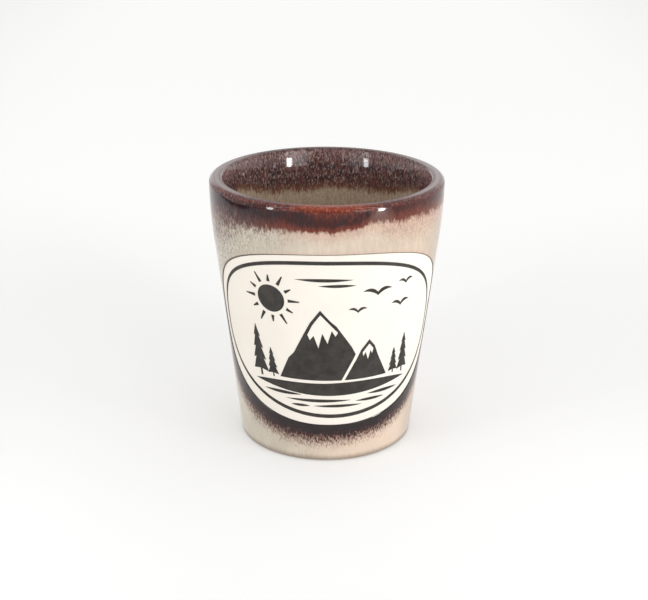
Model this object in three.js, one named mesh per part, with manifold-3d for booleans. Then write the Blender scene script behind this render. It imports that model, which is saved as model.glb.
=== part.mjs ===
// A small stoneware shot cup. A tapered cup of pale clay carries a dark brown glaze over the lip, a cream one
// outside and a darker cream one inside. A window in the outside glaze holds a matte ivory panel with a brown
// shade under it, and a lake picture inside a border line is printed on the panel in charcoal ink.
// Lengths are millimetres, angles are degrees, +Z is up, and the origin is the centre of the foot.
// The panel faces -Y, turned a little to the right.

import * as THREE from 'three'
import { mergeVertices } from 'three/addons/utils/BufferGeometryUtils.js'
import Module from 'manifold-3d'

const wasm = await Module()
wasm.setup()

// Driving dimensions of the finished, glazed cup
const height = 58.4
const rimRadius = 25
const coneFootRadius = 19.12 // the outside cone, carried down to the table
const shoulderDrop = 13.4 // the wall stands up towards the lip from here
const wallHollow = 0.1
const heelRound = 0.5
const wallThickness = 2.84 // at the lip
const floorThickness = 5.2
const wellRound = 5 // inside corner between wall and floor
const lipOuterRound = 1.1
const lipInnerRound = 0.6

// Inside, a slow curve leads from the lip down to a wall that is thicker there, the throat
const throatRound = 17
const throatTopTilt = 22
const throatLowTilt = 2.8
const throatFootShare = 0.35 // of the way from the well's corner to the throat, where the wall is plain again

// Foot
const footRadius = 18.4
const footRingWidth = 3.4
const footRecess = 0.8
const footRecessSlope = 0.5

// Glazes, the panel and the ink, each a fired layer on the one below
const glazeThickness = 0.4
const hairline = 0.03 // between fired layers
const panelSink = 0.15 // the panel lies this much below the glaze round it
const inkThickness = 0.1
const glazeFootShare = 0.5 // of the heel's round, where the bare clay begins
const rimBandDepth = 4.8 // brown glaze, down the outside
const rimBandInsideDepth = 8.9 // brown glaze, down the inside
const jointGap = 0.3 // between pieces that share one layer

// Panel and its border line, as angles round the cup and heights from lip or table
const panelAzimuth = 3.4
const panelHalfAngle = 78.2
const panelTopDrop = 9.9
const panelBottomHeight = 9.1
const borderAzimuth = 2.1
const borderHalfAngle = 71.8
const borderTopDrop = 11.2
const borderBottomHeight = 10.8
const borderTopWidth = 0.8
const borderBottomWidth = 0.87
const borderSideAngle = 1.4
const printLeanShare = -0.054 // the print went on a little askew: across, for each step up

// Each outline's widest line, as a share of its height, and the fullness of its curves above and below that
// line, where 0.5 makes a half ellipse and less makes a squarer curve
const panelOutlineShares = [0.514, 0.413, 0.444]
const borderOutlineShares = [0.467, 0.427, 0.5]

// Brown shade under the panel
const shadeHalfAngle = 68
const shadeDepth = 3.2
const shadeTipShare = 0.2 // of its depth, at both tips

// Fineness of the facets
const segments = 52
const outsideCourseCount = 5
const insideCourseCount = 5
const lipSteps = 3
const throatSteps = 3
const wellSteps = 3
const badgeColumns = 40
const curveSteps = 6

// Heights that follow from the sizes above
const shoulderHeight = height - shoulderDrop
const lipHeight = height - lipOuterRound
const glazeFootHeight = heelRound * glazeFootShare
const panelTop = height - panelTopDrop
const borderTop = height - borderTopDrop
const rimBandHeight = height - rimBandDepth
const rimBandInsideHeight = height - rimBandInsideDepth
const pictureHeight = borderTop - borderBottomHeight
const pictureEyeHeight = borderBottomHeight + pictureHeight / 2
const bodyDepth = glazeThickness + hairline
const wellHeight = floorThickness + wellRound

// Outside wall: a slightly hollow cone up to the shoulder, then a curve that ends upright at the lip. The
// shoulder's radius is the one at which both have the same slope.
const standRatio = (lipHeight - shoulderHeight) / (2 * shoulderHeight)
const shoulderRadius = (rimRadius + standRatio * (coneFootRadius - 4 * wallHollow)) / (1 + standRatio)
const shoulderSlope = (shoulderRadius - coneFootRadius + 4 * wallHollow) / shoulderHeight

function outerRadius(z) {
  if (z > shoulderHeight) {
    const rise = Math.min(z, lipHeight) - shoulderHeight
    return shoulderRadius + shoulderSlope * rise * (1 - rise / (2 * (lipHeight - shoulderHeight)))
  }
  const share = z / shoulderHeight
  const hollow = 4 * wallHollow * share * (1 - share)
  const below = Math.max(heelRound - z, 0)
  const heelInset = heelRound - Math.sqrt(heelRound ** 2 - below ** 2)
  return THREE.MathUtils.lerp(coneFootRadius, shoulderRadius, share) - hollow - heelInset
}

function point(radius, z) {
  return new THREE.Vector2(radius, z)
}

// Evenly spaced heights from one level to another, ends included
function levels(from, to, count) {
  return Array.from({ length: count + 1 }, (_, i) => THREE.MathUtils.lerp(from, to, i / count))
}

// One point of a round about a centre, and a stretch of the round from one angle to another

function onRound(centre, radius, angle) {
  const turn = THREE.MathUtils.degToRad(angle)
  return point(centre.x + radius * Math.cos(turn), centre.y + radius * Math.sin(turn))
}

function arc(centre, radius, fromAngle, toAngle, steps) {
  return levels(fromAngle, toAngle, steps).map((angle) => onRound(centre, radius, angle))
}

// Centres of the lip's rounds and of the throat's round, which starts where the lip's inner round has turned
// to the same tilt
const lipOuterCentre = point(rimRadius - lipOuterRound, lipHeight)
const lipInnerCentre = point(rimRadius - wallThickness + lipInnerRound, height - lipInnerRound)
const throatTopTurn = 180 - throatTopTilt
const throatLowTurn = 180 - throatLowTilt
const throatCentre = onRound(lipInnerCentre, lipInnerRound - throatRound, throatTopTurn)
const throatEnd = onRound(throatCentre, throatRound, throatLowTurn)
const throatLowHeight = throatEnd.y
const throatSwelling = outerRadius(throatLowHeight) - wallThickness - throatEnd.x
const throatFootHeight = THREE.MathUtils.lerp(wellHeight, throatLowHeight, throatFootShare)

// Paths of the finished surfaces, or of surfaces that lie a given depth below them

function outsidePath(depth) {
  const heights = [glazeFootHeight, ...levels(heelRound, rimBandHeight, outsideCourseCount)]
  return heights.map((z) => point(outerRadius(z) - depth, z))
}

function lipPath(depth) {
  const outer = arc(lipOuterCentre, lipOuterRound - depth, 0, 90, lipSteps)
  const inner = arc(lipInnerCentre, lipInnerRound - depth, 90, throatTopTurn, lipSteps)
  const throat = arc(throatCentre, throatRound - depth, throatTopTurn, throatLowTurn, throatSteps)
  return [point(outerRadius(rimBandHeight) - depth, rimBandHeight), ...outer, ...inner, ...throat.slice(1)]
}

// The wall's swelling fades out from the throat down to its foot, with no step at either end
function insideRadius(z) {
  const plain = outerRadius(z) - wallThickness
  return plain - throatSwelling * THREE.MathUtils.smoothstep(z, throatFootHeight, throatLowHeight)
}

function insidePath(depth) {
  const cornerCentre = point(insideRadius(wellHeight) - wellRound, wellHeight)
  const wall = levels(rimBandInsideHeight, wellHeight, insideCourseCount)
  const corner = arc(cornerCentre, wellRound + depth, 0, -90, wellSteps)
  return [
    ...wall.map((z) => point(insideRadius(z) + depth, z)),
    ...corner.slice(1),
    point(0, floorThickness - depth)
  ]
}

// A ring or cup turned from a path that starts and ends on the axis or closes on itself
function turned(path) {
  const geometry = new THREE.LatheGeometry(path, segments)
  geometry.rotateX(Math.PI / 2)
  return geometry
}

// A layer between two paths that run the same way, closed into one ring
function layer(nearPath, farPath) {
  return turned([...nearPath, ...farPath.slice().reverse(), nearPath[0]])
}

// Solids for cutting and joining, and back

function solidFrom(geometry) {
  const bare = geometry.clone()
  bare.deleteAttribute('normal')
  bare.deleteAttribute('uv')
  const merged = mergeVertices(bare)
  const corners = merged.index.array
  const kept = []
  for (let i = 0; i < corners.length; i += 3) {
    const [a, b, c] = [corners[i], corners[i + 1], corners[i + 2]]
    if (a !== b && b !== c && c !== a) kept.push(a, b, c)
  }
  return new wasm.Manifold(new wasm.Mesh({
    numProp: 3,
    vertProperties: new Float32Array(merged.attributes.position.array),
    triVerts: new Uint32Array(kept)
  }))
}

function geometryFrom(solid) {
  const mesh = solid.getMesh()
  const geometry = new THREE.BufferGeometry()
  geometry.setAttribute('position', new THREE.BufferAttribute(mesh.vertProperties, 3))
  geometry.setIndex(new THREE.BufferAttribute(mesh.triVerts, 1))
  geometry.computeVertexNormals()
  return geometry
}

// Badge outlines: for an angle from the badge's middle, the upper and lower height of the outline

function badge(halfAngle, bottom, top, [widestShare, upperShare, lowerShare]) {
  const widest = THREE.MathUtils.lerp(bottom, top, widestShare)
  const reach = (angle, share) => (1 - Math.min(Math.abs(angle) / halfAngle, 1) ** (1 / share)) ** share
  return {
    halfAngle,
    upper: (angle) => widest + (top - widest) * reach(angle, upperShare),
    lower: (angle) => widest - (widest - bottom) * reach(angle, lowerShare)
  }
}

function grownBadge(by) {
  const turn = THREE.MathUtils.radToDeg(by / outerRadius(panelTop))
  return badge(panelHalfAngle + turn, panelBottomHeight - by, panelTop + by, panelOutlineShares)
}

const panelBadge = grownBadge(0)
const windowBadge = grownBadge(jointGap)
const borderOuterBadge = badge(borderHalfAngle, borderBottomHeight, borderTop, borderOutlineShares)
const borderInnerBadge = badge(
  borderHalfAngle - borderSideAngle,
  borderBottomHeight + borderBottomWidth,
  borderTop - borderTopWidth,
  borderOutlineShares
)

// Azimuth of the print's middle line, which leans as it rises
function printAzimuth(z) {
  const across = printLeanShare * (z - pictureEyeHeight)
  return borderAzimuth + THREE.MathUtils.radToDeg(across / outerRadius(pictureEyeHeight))
}

// A wedge of space that runs outwards through the wall, between two heights that change with the angle from
// a middle line
function wedge(halfAngle, lower, upper, middleAzimuth) {
  const inner = coneFootRadius - wallThickness
  const outer = rimRadius + wallThickness
  const corners = []
  for (let i = 0; i <= badgeColumns; i += 1) {
    const angle = -halfAngle * Math.cos(Math.PI * i / badgeColumns)
    for (const radius of [inner, outer]) {
      for (const z of [lower(angle), upper(angle)]) {
        const turn = THREE.MathUtils.degToRad(angle + middleAzimuth(z))
        corners.push(radius * Math.sin(turn), -radius * Math.cos(turn), z)
      }
    }
  }
  // Each column has inner low, inner high, outer low and outer high
  const faces = []
  const quad = (a, b, c, d) => faces.push(a, b, c, a, c, d)
  for (let i = 0; i < badgeColumns; i += 1) {
    const k = 4 * i
    quad(k + 2, k + 6, k + 7, k + 3)
    quad(k, k + 1, k + 5, k + 4)
    quad(k + 1, k + 3, k + 7, k + 5)
    quad(k, k + 4, k + 6, k + 2)
  }
  const last = 4 * badgeColumns
  quad(0, 2, 3, 1)
  quad(last, last + 1, last + 3, last + 2)
  const geometry = new THREE.BufferGeometry()
  geometry.setAttribute('position', new THREE.BufferAttribute(new Float32Array(corners), 3))
  geometry.setIndex(faces)
  return solidFrom(geometry)
}

function badgeWedge(outline, middleAzimuth) {
  return wedge(outline.halfAngle, outline.lower, outline.upper, middleAzimuth)
}

const panelMiddle = () => panelAzimuth

// The picture is drawn flat, in shares: across from -1 to 1 of the border's half width, and up from 0 to 1 of
// its height. Seen from a point on the cup's axis, each outline becomes a cutter that widens outwards.

const cutterNearShare = 0.35
const cutterFarShare = 1.6
const longestEdgeShare = 0.08

function withShortEdges(outline) {
  const points = []
  outline.forEach((start, i) => {
    const end = outline[(i + 1) % outline.length]
    const count = Math.max(1, Math.ceil(start.distanceTo(end) / longestEdgeShare))
    for (let k = 0; k < count; k += 1) points.push(start.clone().lerp(end, k / count))
  })
  return points
}

function cutter(shape) {
  const { shape: edge, holes } = shape.extractPoints(curveSteps)
  const spots = withShortEdges(edge)
  const middleShare = (Math.min(...spots.map((p) => p.x)) + Math.max(...spots.map((p) => p.x))) / 2
  const seen = (spot) => {
    const z = borderBottomHeight + spot.y * pictureHeight
    const lean = printAzimuth(z) - borderAzimuth
    const turn = THREE.MathUtils.degToRad((spot.x - middleShare) * borderHalfAngle + lean)
    const reach = outerRadius(z) * Math.cos(turn)
    return new THREE.Vector2(Math.tan(turn), (z - pictureEyeHeight) / reach)
  }
  const outline = new THREE.Shape(spots.map(seen))
  outline.holes = holes.map((hole) => new THREE.Path(withShortEdges(hole).map(seen)))
  const near = rimRadius * cutterNearShare
  const far = rimRadius * cutterFarShare
  const geometry = new THREE.ExtrudeGeometry(outline, { depth: far - near, bevelEnabled: false })
  const place = geometry.attributes.position
  for (let i = 0; i < place.count; i += 1) {
    const distance = near + place.getZ(i)
    place.setXYZ(i, place.getX(i) * distance, -distance, pictureEyeHeight + place.getY(i) * distance)
  }
  geometry.rotateZ(THREE.MathUtils.degToRad(borderAzimuth + middleShare * borderHalfAngle))
  return solidFrom(geometry)
}

// Layers of the wall that the panel, the glaze and the ink are cut from
const glazeLayer = solidFrom(layer(outsidePath(0), outsidePath(glazeThickness)))
const panelLayer = solidFrom(layer(outsidePath(panelSink), outsidePath(glazeThickness)))
const inkFace = panelSink - hairline
const inkLayer = solidFrom(layer(outsidePath(inkFace - inkThickness), outsidePath(inkFace)))

// Materials

function ceramic(name, color, roughness) {
  const material = new THREE.MeshStandardMaterial({ color, roughness, metalness: 0 })
  material.name = name
  return material
}

const finishes = {
  clay: () => ceramic('bare_clay', 0xd8c9b2, 0.85),
  creamGlaze: () => ceramic('cream_glaze', 0xcfc0ac, 0.18),
  linerGlaze: () => ceramic('liner_glaze', 0x8f836c, 0.2),
  brownGlaze: () => ceramic('brown_glaze', 0x4a2c26, 0.12),
  ivory: () => ceramic('ivory_slip', 0xf3eadb, 0.75),
  ink: () => ceramic('charcoal_ink', 0x35302e, 0.7)
}

const cup = new THREE.Group()
cup.name = 'stoneware_shot_cup'

function add(name, geometry, material) {
  const mesh = new THREE.Mesh(geometry, material)
  mesh.name = name
  cup.add(mesh)
}

function print(name, shape) {
  add(name, geometryFrom(inkLayer.intersect(cutter(shape))), finishes.ink())
}

// Clay cup, with a bare foot ring round a shallow recess

function clayCup() {
  const ringInner = footRadius - footRingWidth
  return turned([
    point(0, footRecess),
    point(ringInner - footRecessSlope, footRecess),
    point(ringInner, 0),
    point(footRadius, 0),
    ...outsidePath(bodyDepth),
    ...lipPath(bodyDepth).slice(1),
    ...insidePath(bodyDepth)
  ])
}

// Glazes

function rimGlaze() {
  const innerEdge = insideRadius(rimBandInsideHeight)
  const overLip = (depth) => [...lipPath(depth), point(innerEdge + depth, rimBandInsideHeight)]
  return layer(overLip(0), overLip(glazeThickness))
}

function linerGlaze() {
  const face = insidePath(0)
  const back = insidePath(glazeThickness)
  return turned([...back.slice().reverse(), ...face])
}

function shadeBottom(angle) {
  const fade = Math.sqrt(Math.max(1 - (angle / shadeHalfAngle) ** 2, 0))
  return panelBadge.lower(angle) - jointGap - shadeDepth * Math.max(fade, shadeTipShare)
}

function shadeWedge(grow) {
  return wedge(
    shadeHalfAngle + THREE.MathUtils.radToDeg(grow / rimRadius),
    (angle) => shadeBottom(angle) - grow,
    (angle) => windowBadge.lower(angle) + shadeDepth,
    panelMiddle
  )
}

function creamGlaze() {
  return glazeLayer.subtract(badgeWedge(windowBadge, panelMiddle)).subtract(shadeWedge(jointGap))
}

function underPanelShade() {
  return glazeLayer.intersect(shadeWedge(0)).subtract(badgeWedge(windowBadge, panelMiddle))
}

add('stoneware_body', clayCup(), finishes.clay())
add('rim_brown_glaze', rimGlaze(), finishes.brownGlaze())
add('outside_cream_glaze', geometryFrom(creamGlaze()), finishes.creamGlaze())
add('under_panel_brown_glaze', geometryFrom(underPanelShade()), finishes.brownGlaze())
add('inside_cream_glaze', linerGlaze(), finishes.linerGlaze())
add('ivory_panel', geometryFrom(panelLayer.intersect(badgeWedge(panelBadge, panelMiddle))), finishes.ivory())

// Border line, a closed stripe inside the panel's edge
const borderHole = badgeWedge(borderInnerBadge, printAzimuth)
const borderLine = badgeWedge(borderOuterBadge, printAzimuth).subtract(borderHole)
add('border_line', geometryFrom(inkLayer.intersect(borderLine)), finishes.ink())

// Picture: two snowy peaks and some conifers on a lake shore, under a rayed sun with gulls and thin clouds.
// Every place and size in it is a share, across of the border's half width and up of its height.

function polygon(shares) {
  return new THREE.Shape(shares.map(([x, y]) => new THREE.Vector2(x, y)))
}

// A shape whose curves are given as control points and an end point, from a start
function curved(startShares, curveShares) {
  const shape = new THREE.Shape()
  shape.moveTo(...startShares)
  for (const curve of curveShares) {
    if (curve.length === 4) shape.quadraticCurveTo(...curve)
    else shape.bezierCurveTo(...curve)
  }
  return shape
}

const shoreShares = [
  [-0.35, 0.165, -0.2, 0.145, 0.05, 0.15],
  [0.3, 0.155, 0.45, 0.18, 0.67, 0.195],
  [0.5, 0.235, 0.25, 0.24, 0, 0.232],
  [-0.2, 0.225, -0.45, 0.24, -0.67, 0.2]
]
const shoreStartShares = [-0.67, 0.2]
print('lake_shore', curved(shoreStartShares, shoreShares))

// Each peak is a dark face with the snow left open under its tip
const tallPeakShares = [
  [-0.42, 0.25], [0.075, 0.25], [0.165, 0.375], [0.19, 0.415], [0.16, 0.465], [0.05, 0.6], [0.01, 0.63],
  [-0.06, 0.7], [-0.14, 0.62], [-0.28, 0.425], [-0.33, 0.385]
]
const tallSnowShares = [
  [-0.06, 0.672], [-0.003, 0.618], [0.06, 0.56], [0.04, 0.535], [0.015, 0.572], [-0.02, 0.49],
  [-0.055, 0.555], [-0.09, 0.46], [-0.12, 0.54], [-0.15, 0.51], [-0.165, 0.545], [-0.125, 0.605]
]
const lowPeakShares = [
  [0.1, 0.25], [0.46, 0.25], [0.375, 0.39], [0.345, 0.455], [0.3, 0.5], [0.235, 0.44], [0.2, 0.385]
]
const lowSnowShares = [
  [0.3, 0.472], [0.335, 0.438], [0.325, 0.405], [0.31, 0.428], [0.29, 0.37], [0.27, 0.42], [0.252, 0.395],
  [0.245, 0.42]
]

function peak(faceShares, snowShares) {
  const shape = polygon(faceShares)
  shape.holes.push(polygon(snowShares))
  return shape
}

print('tall_peak', peak(tallPeakShares, tallSnowShares))
print('low_peak', peak(lowPeakShares, lowSnowShares))

// Sun, a round disc in a ring of long and short rays. Its radii are shares of the mean of the picture's half
// width and its height.
const sunAcrossShare = -0.42
const sunUpShare = 0.745
const sunRadiusShare = 0.094
const rayStartShare = 0.118
const rayEndShares = [0.191, 0.164]
const rayHalfWidthShare = 0.0115
const rayTipShare = 0.33 // of the ray's width
const rayCount = 12
const pictureHalfWidth = THREE.MathUtils.degToRad(borderHalfAngle) * outerRadius(pictureEyeHeight)
const pictureMean = Math.sqrt(pictureHeight * pictureHalfWidth)
const acrossShare = pictureMean / pictureHalfWidth
const upShare = pictureMean / pictureHeight

function sunDisc() {
  const [halfWidth, halfHeight] = [sunRadiusShare * acrossShare, sunRadiusShare * upShare]
  return new THREE.Shape().absellipse(sunAcrossShare, sunUpShare, halfWidth, halfHeight, 0, 2 * Math.PI)
}

function sunRay(turn, endShare) {
  const corner = (distance, side) => [
    sunAcrossShare + (Math.cos(turn) * distance - Math.sin(turn) * side) * acrossShare,
    sunUpShare + (Math.sin(turn) * distance + Math.cos(turn) * side) * upShare
  ]
  return polygon([
    corner(rayStartShare, -rayHalfWidthShare),
    corner(endShare, -rayHalfWidthShare * rayTipShare),
    corner(endShare, rayHalfWidthShare * rayTipShare),
    corner(rayStartShare, rayHalfWidthShare)
  ])
}

print('sun_disc', sunDisc())
for (let i = 0; i < rayCount; i += 1) {
  print(`sun_ray_${i + 1}`, sunRay(2 * Math.PI * i / rayCount, rayEndShares[i % rayEndShares.length]))
}

// The motifs below are unit outlines, placed by their middle or foot, their half width and their height
function placed(outline, [x, y, halfWidth, tall]) {
  return outline.map((value, i) => (i % 2 ? y + value * tall : x + value * halfWidth))
}

// One side of a conifer, from the trunk's foot up to the tip
const coniferShares = [
  [0.12, 0], [0.12, 0.13], [1, 0.1], [0.5, 0.34], [0.8, 0.32],
  [0.36, 0.56], [0.6, 0.54], [0.22, 0.78], [0.4, 0.76]
]
const coniferPlaceShares = [
  [-0.6, 0.228, 0.078, 0.33], [-0.48, 0.24, 0.05, 0.19],
  [0.53, 0.24, 0.048, 0.17], [0.635, 0.225, 0.062, 0.26]
]

function conifer(place) {
  const left = coniferShares.map(([x, y]) => [-x, y]).reverse()
  return polygon([...coniferShares, [0, 1], ...left].map((spot) => placed(spot, place)))
}

// A gull in flight, two arched wings that meet in a dip
const gullStartShares = [-1, 0.4]
const gullShares = [[-0.4, 0.5, 0, -0.5], [0.4, 0.5, 1, 0.4], [0.4, 1.4, 0, 0.1], [-0.4, 1.4, -1, 0.4]]
const gullPlaceShares = [
  [0.36, 0.79, 0.115, 0.036], [0.56, 0.69, 0.085, 0.03],
  [0.21, 0.69, 0.07, 0.026], [0.6, 0.82, 0.07, 0.026]
]

// A stroke for ripples and clouds, thick in the middle and pointed at both ends
const strokeStartShares = [-1, 0]
const strokeShares = [[0, -1, 1, 0], [0, 1, -1, 0]]
const ripplePlaceShares = [
  [-0.42, 0.15, 0.17, 0.02], [0.44, 0.143, 0.15, 0.02], [-0.12, 0.115, 0.27, 0.02],
  [0.32, 0.105, 0.13, 0.018], [0.04, 0.08, 0.2, 0.018], [-0.27, 0.08, 0.08, 0.016]
]
const cloudPlaceShares = [[-0.02, 0.885, 0.2, 0.02], [0.07, 0.85, 0.13, 0.018]]

function placedCurves(startShares, curveShares, place) {
  return curved(placed(startShares, place), curveShares.map((curve) => placed(curve, place)))
}

const gull = (place) => placedCurves(gullStartShares, gullShares, place)
const stroke = (place) => placedCurves(strokeStartShares, strokeShares, place)

coniferPlaceShares.forEach((place, i) => print(`conifer_${i + 1}`, conifer(place)))
gullPlaceShares.forEach((place, i) => print(`gull_${i + 1}`, gull(place)))
ripplePlaceShares.forEach((place, i) => print(`ripple_${i + 1}`, stroke(place)))
cloudPlaceShares.forEach((place, i) => print(`cloud_${i + 1}`, stroke(place)))

export default cup
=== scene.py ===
"""Looks of a small stoneware shot cup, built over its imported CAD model.

The cup is a tapered clay body under three glazes: a dark brown one over the lip, a streaky cream one outside and
a darker one inside. A matte ivory panel fills a window in the outside glaze. A border line and a lake picture are
printed on it in charcoal ink. Lengths are metres, azimuths are degrees from the front, and positive to the right.
"""

import logging
import math
from collections.abc import Sequence
from dataclasses import dataclass, replace
from enum import Enum
from functools import partial, reduce

import bmesh
import bpy
import numpy as np
from mathutils import Matrix, Vector
from mathutils.geometry import delaunay_2d_cdt


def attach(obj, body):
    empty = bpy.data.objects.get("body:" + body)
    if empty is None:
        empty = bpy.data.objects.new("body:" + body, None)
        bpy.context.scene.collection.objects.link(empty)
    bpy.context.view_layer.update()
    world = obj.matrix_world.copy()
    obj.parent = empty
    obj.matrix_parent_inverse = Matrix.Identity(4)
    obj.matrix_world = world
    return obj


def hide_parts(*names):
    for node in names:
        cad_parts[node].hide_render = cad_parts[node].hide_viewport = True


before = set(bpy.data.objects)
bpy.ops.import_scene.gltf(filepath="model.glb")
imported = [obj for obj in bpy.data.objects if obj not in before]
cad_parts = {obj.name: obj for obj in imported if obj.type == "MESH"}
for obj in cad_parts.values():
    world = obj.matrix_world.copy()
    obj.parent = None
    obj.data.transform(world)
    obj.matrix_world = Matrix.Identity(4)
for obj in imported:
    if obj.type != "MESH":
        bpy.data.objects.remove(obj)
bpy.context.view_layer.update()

MM = 0.001
BODY = "root"
LOG = logging.getLogger("cup")

Array = np.ndarray
Socket = bpy.types.NodeSocket
Colour = tuple[float, float, float]
Table = tuple[tuple[float, float], ...]
Rows = tuple[tuple[float, ...], ...]


class Slot(Enum):
    """The record's material slots."""

    CLAY = "bare_clay"
    CREAM = "cream_glaze"
    LINER = "liner_glaze"
    BROWN = "brown_glaze"
    IVORY = "ivory_slip"
    INK = "charcoal_ink"


def linear(red: int, green: int, blue: int) -> Colour:
    """Turns a colour as a screen shows it into amounts of light.

    Args:
        red: Red from 0 to 255.
        green: Green from 0 to 255.
        blue: Blue from 0 to 255.

    Returns:
        The three amounts of light, from 0 to 1.
    """
    shares = (np.array([red, green, blue]) / 255 + 0.055) / 1.055
    return tuple(float(share) for share in shares**2.4)


def smooth_step(value: Array, low: float, high: float) -> Array:
    """Rises smoothly from 0 to 1: 3t^2 - 2t^3, where t is the value's share of the way from low to high.

    Args:
        value: Where it is worked out.
        low: Where the rise starts.
        high: Where the rise ends.

    Returns:
        The shares, from 0 to 1.
    """
    t = np.clip((value - low) / (high - low), 0, 1)
    return t * t * (3 - 2 * t)


# Small sums, profiles and grids


def along_turn(table: Table, azimuth: Array) -> Array:
    """Values that change with the azimuth, joined with straight lines."""
    at, values = np.array(table).T
    return np.interp(azimuth, at, values)


def shares(steps: int) -> Array:
    """Equal shares from 0 to 1, as a column."""
    return np.linspace(0, 1, steps + 1)[:, None]


def arc(radius: float, z: float, size: float, turn: Array) -> Array:
    """Points of a profile on a round: centre + size (cos t, sin t)."""
    return np.array([radius, z]) + size * np.stack([np.cos(turn), np.sin(turn)], -1)


def grid_corners(number: Array) -> Array:
    """Cuts each cell of a grid of point numbers into two triangles along one diagonal."""
    a, b, c, d = number[:-1, :-1], number[:-1, 1:], number[1:, 1:], number[1:, :-1]
    return np.stack([a, b, c, a, c, d], -1).reshape(-1, 3)


def whole(corners: Array) -> Array:
    """Leaves out the triangles that have two corners on one point."""
    a, b, c = corners.T
    return corners[(a != b) & (b != c) & (c != a)]


def turned(path: Array, columns: int) -> tuple[Array, Array]:
    """Turns a profile round the axis: each point (r, z) becomes a ring of (r sin a, -r cos a, z).

    Args:
        path: Rows of radius and height.
        columns: Points of each ring.

    Returns:
        The points, and point numbers of each triangle.
    """
    turn = np.radians(np.linspace(0, 360, columns + 1))
    radius, z, turn = np.broadcast_arrays(path[:, :1], path[:, 1:], turn)
    points = np.stack([radius * np.sin(turn), -radius * np.cos(turn), z], -1).reshape(-1, 3)
    number = np.arange(len(points)).reshape(radius.shape)
    number[:, -1] = number[:, 0]
    poles = path[:, 0] == 0
    number[poles] = number[poles][:, :1]
    used, compact = np.unique(whole(grid_corners(number)), return_inverse=True)
    return points[used], compact.reshape(-1, 3)


def linked(name: str, data: bpy.types.ID) -> bpy.types.Object:
    """Makes an object of its data and puts it into the scene.

    Args:
        name: The object's name.
        data: Its mesh, lamp or camera.

    Returns:
        The object.
    """
    thing = bpy.data.objects.new(name, data)
    bpy.context.scene.collection.objects.link(thing)
    return thing


# Meshes


class MeshDraft:
    """Grids and triangles of points, each with a front and a back, that become one closed solid."""

    WELD = 1e-7
    MERGE = 2e-7
    SHARP = math.radians(38)

    def __init__(self) -> None:
        """Starts an empty draft."""
        self.fronts: list[Array] = []
        self.backs: list[Array] = []
        self.faces: list[Array] = []
        self.count = 0

    def add(self, front: Array, back: Array, corners: Array) -> None:
        """Adds triangles between points that have a front and a back.

        Args:
            front: Points of the finished surface, as rows of three.
            back: The same points, moved to the layer's back.
            corners: Point numbers of each triangle.
        """
        self.faces.append(corners + self.count)
        self.fronts.append(front.reshape(-1, 3))
        self.backs.append(back.reshape(-1, 3))
        self.count += len(self.fronts[-1])

    def add_grid(self, front: Array, back: Array) -> None:
        """Adds a grid of points that have a front and a back.

        Args:
            front: Points of the finished surface, shaped rows by columns by three.
            back: The same grid, moved to the layer's back.
        """
        self.add(front, back, grid_corners(np.arange(front[..., 0].size).reshape(front.shape[:2])))

    def solid(self, name: str) -> bpy.types.Object:
        """Welds the front, closes it with the back and a wall along every free edge, and makes the object.

        A free edge from point a to point b gets the two wall triangles (b, a, a') and (b, a', b'), where a' and
        b' lie on the back. A front that meets itself has no free edge there and needs no wall.

        Args:
            name: The object's name.

        Returns:
            The object, with its place in its mesh.
        """
        front, back = np.concatenate(self.fronts), np.concatenate(self.backs)
        keys = np.round(front / self.WELD)
        _, first, number = np.unique(keys, axis=0, return_index=True, return_inverse=True)
        front, back = front[first], back[first]
        corners = whole(number.reshape(-1)[np.concatenate(self.faces)])
        size = len(front)
        edges = np.concatenate([corners[:, [0, 1]], corners[:, [1, 2]], corners[:, [2, 0]]])
        key, other = edges[:, 0] * size + edges[:, 1], edges[:, 1] * size + edges[:, 0]
        free = edges[~np.isin(key, other)]
        walls = np.concatenate([
            np.stack([free[:, 1], free[:, 0], free[:, 0] + size], -1),
            np.stack([free[:, 1], free[:, 0] + size, free[:, 1] + size], -1),
        ])
        faces = np.concatenate([corners, corners[:, ::-1] + size, walls])
        return self.finished(name, np.concatenate([front, back]), faces)

    @classmethod
    def finished(cls, name: str, points: Array, corners: Array) -> bpy.types.Object:
        """Makes a smooth mesh object of triangles, with its doubles merged and its faces turned outwards.

        Args:
            name: The object's name.
            points: The points, as rows of three.
            corners: Point numbers of each triangle.

        Returns:
            The object.
        """
        mesh = bpy.data.meshes.new(name)
        mesh.vertices.add(len(points))
        mesh.vertices.foreach_set("co", points.astype(np.float32).ravel())
        mesh.loops.add(corners.size)
        mesh.loops.foreach_set("vertex_index", corners.astype(np.int32).ravel())
        mesh.polygons.add(len(corners))
        mesh.polygons.foreach_set("loop_start", np.arange(0, corners.size, 3, dtype=np.int32))
        mesh.update(calc_edges=True)
        draft = bmesh.new()
        draft.from_mesh(mesh)
        bmesh.ops.remove_doubles(draft, verts=draft.verts, dist=cls.MERGE)
        bmesh.ops.recalc_face_normals(draft, faces=draft.faces)
        open_edges = sum(1 for edge in draft.edges if len(edge.link_faces) != 2)
        draft.to_mesh(mesh)
        draft.free()
        mesh.shade_smooth()
        mesh.set_sharp_from_angle(angle=cls.SHARP)
        if open_edges:
            LOG.warning("%s has %d open edges", name, open_edges)
        return linked(name, mesh)


def read_points(piece: bpy.types.Object) -> Array:
    """Reads a mesh object's points.

    Args:
        piece: The object.

    Returns:
        The points, as rows of three.
    """
    points = np.empty(len(piece.data.vertices) * 3, np.float32)
    piece.data.vertices.foreach_get("co", points)
    return points.reshape(-1, 3).astype(float)


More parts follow.
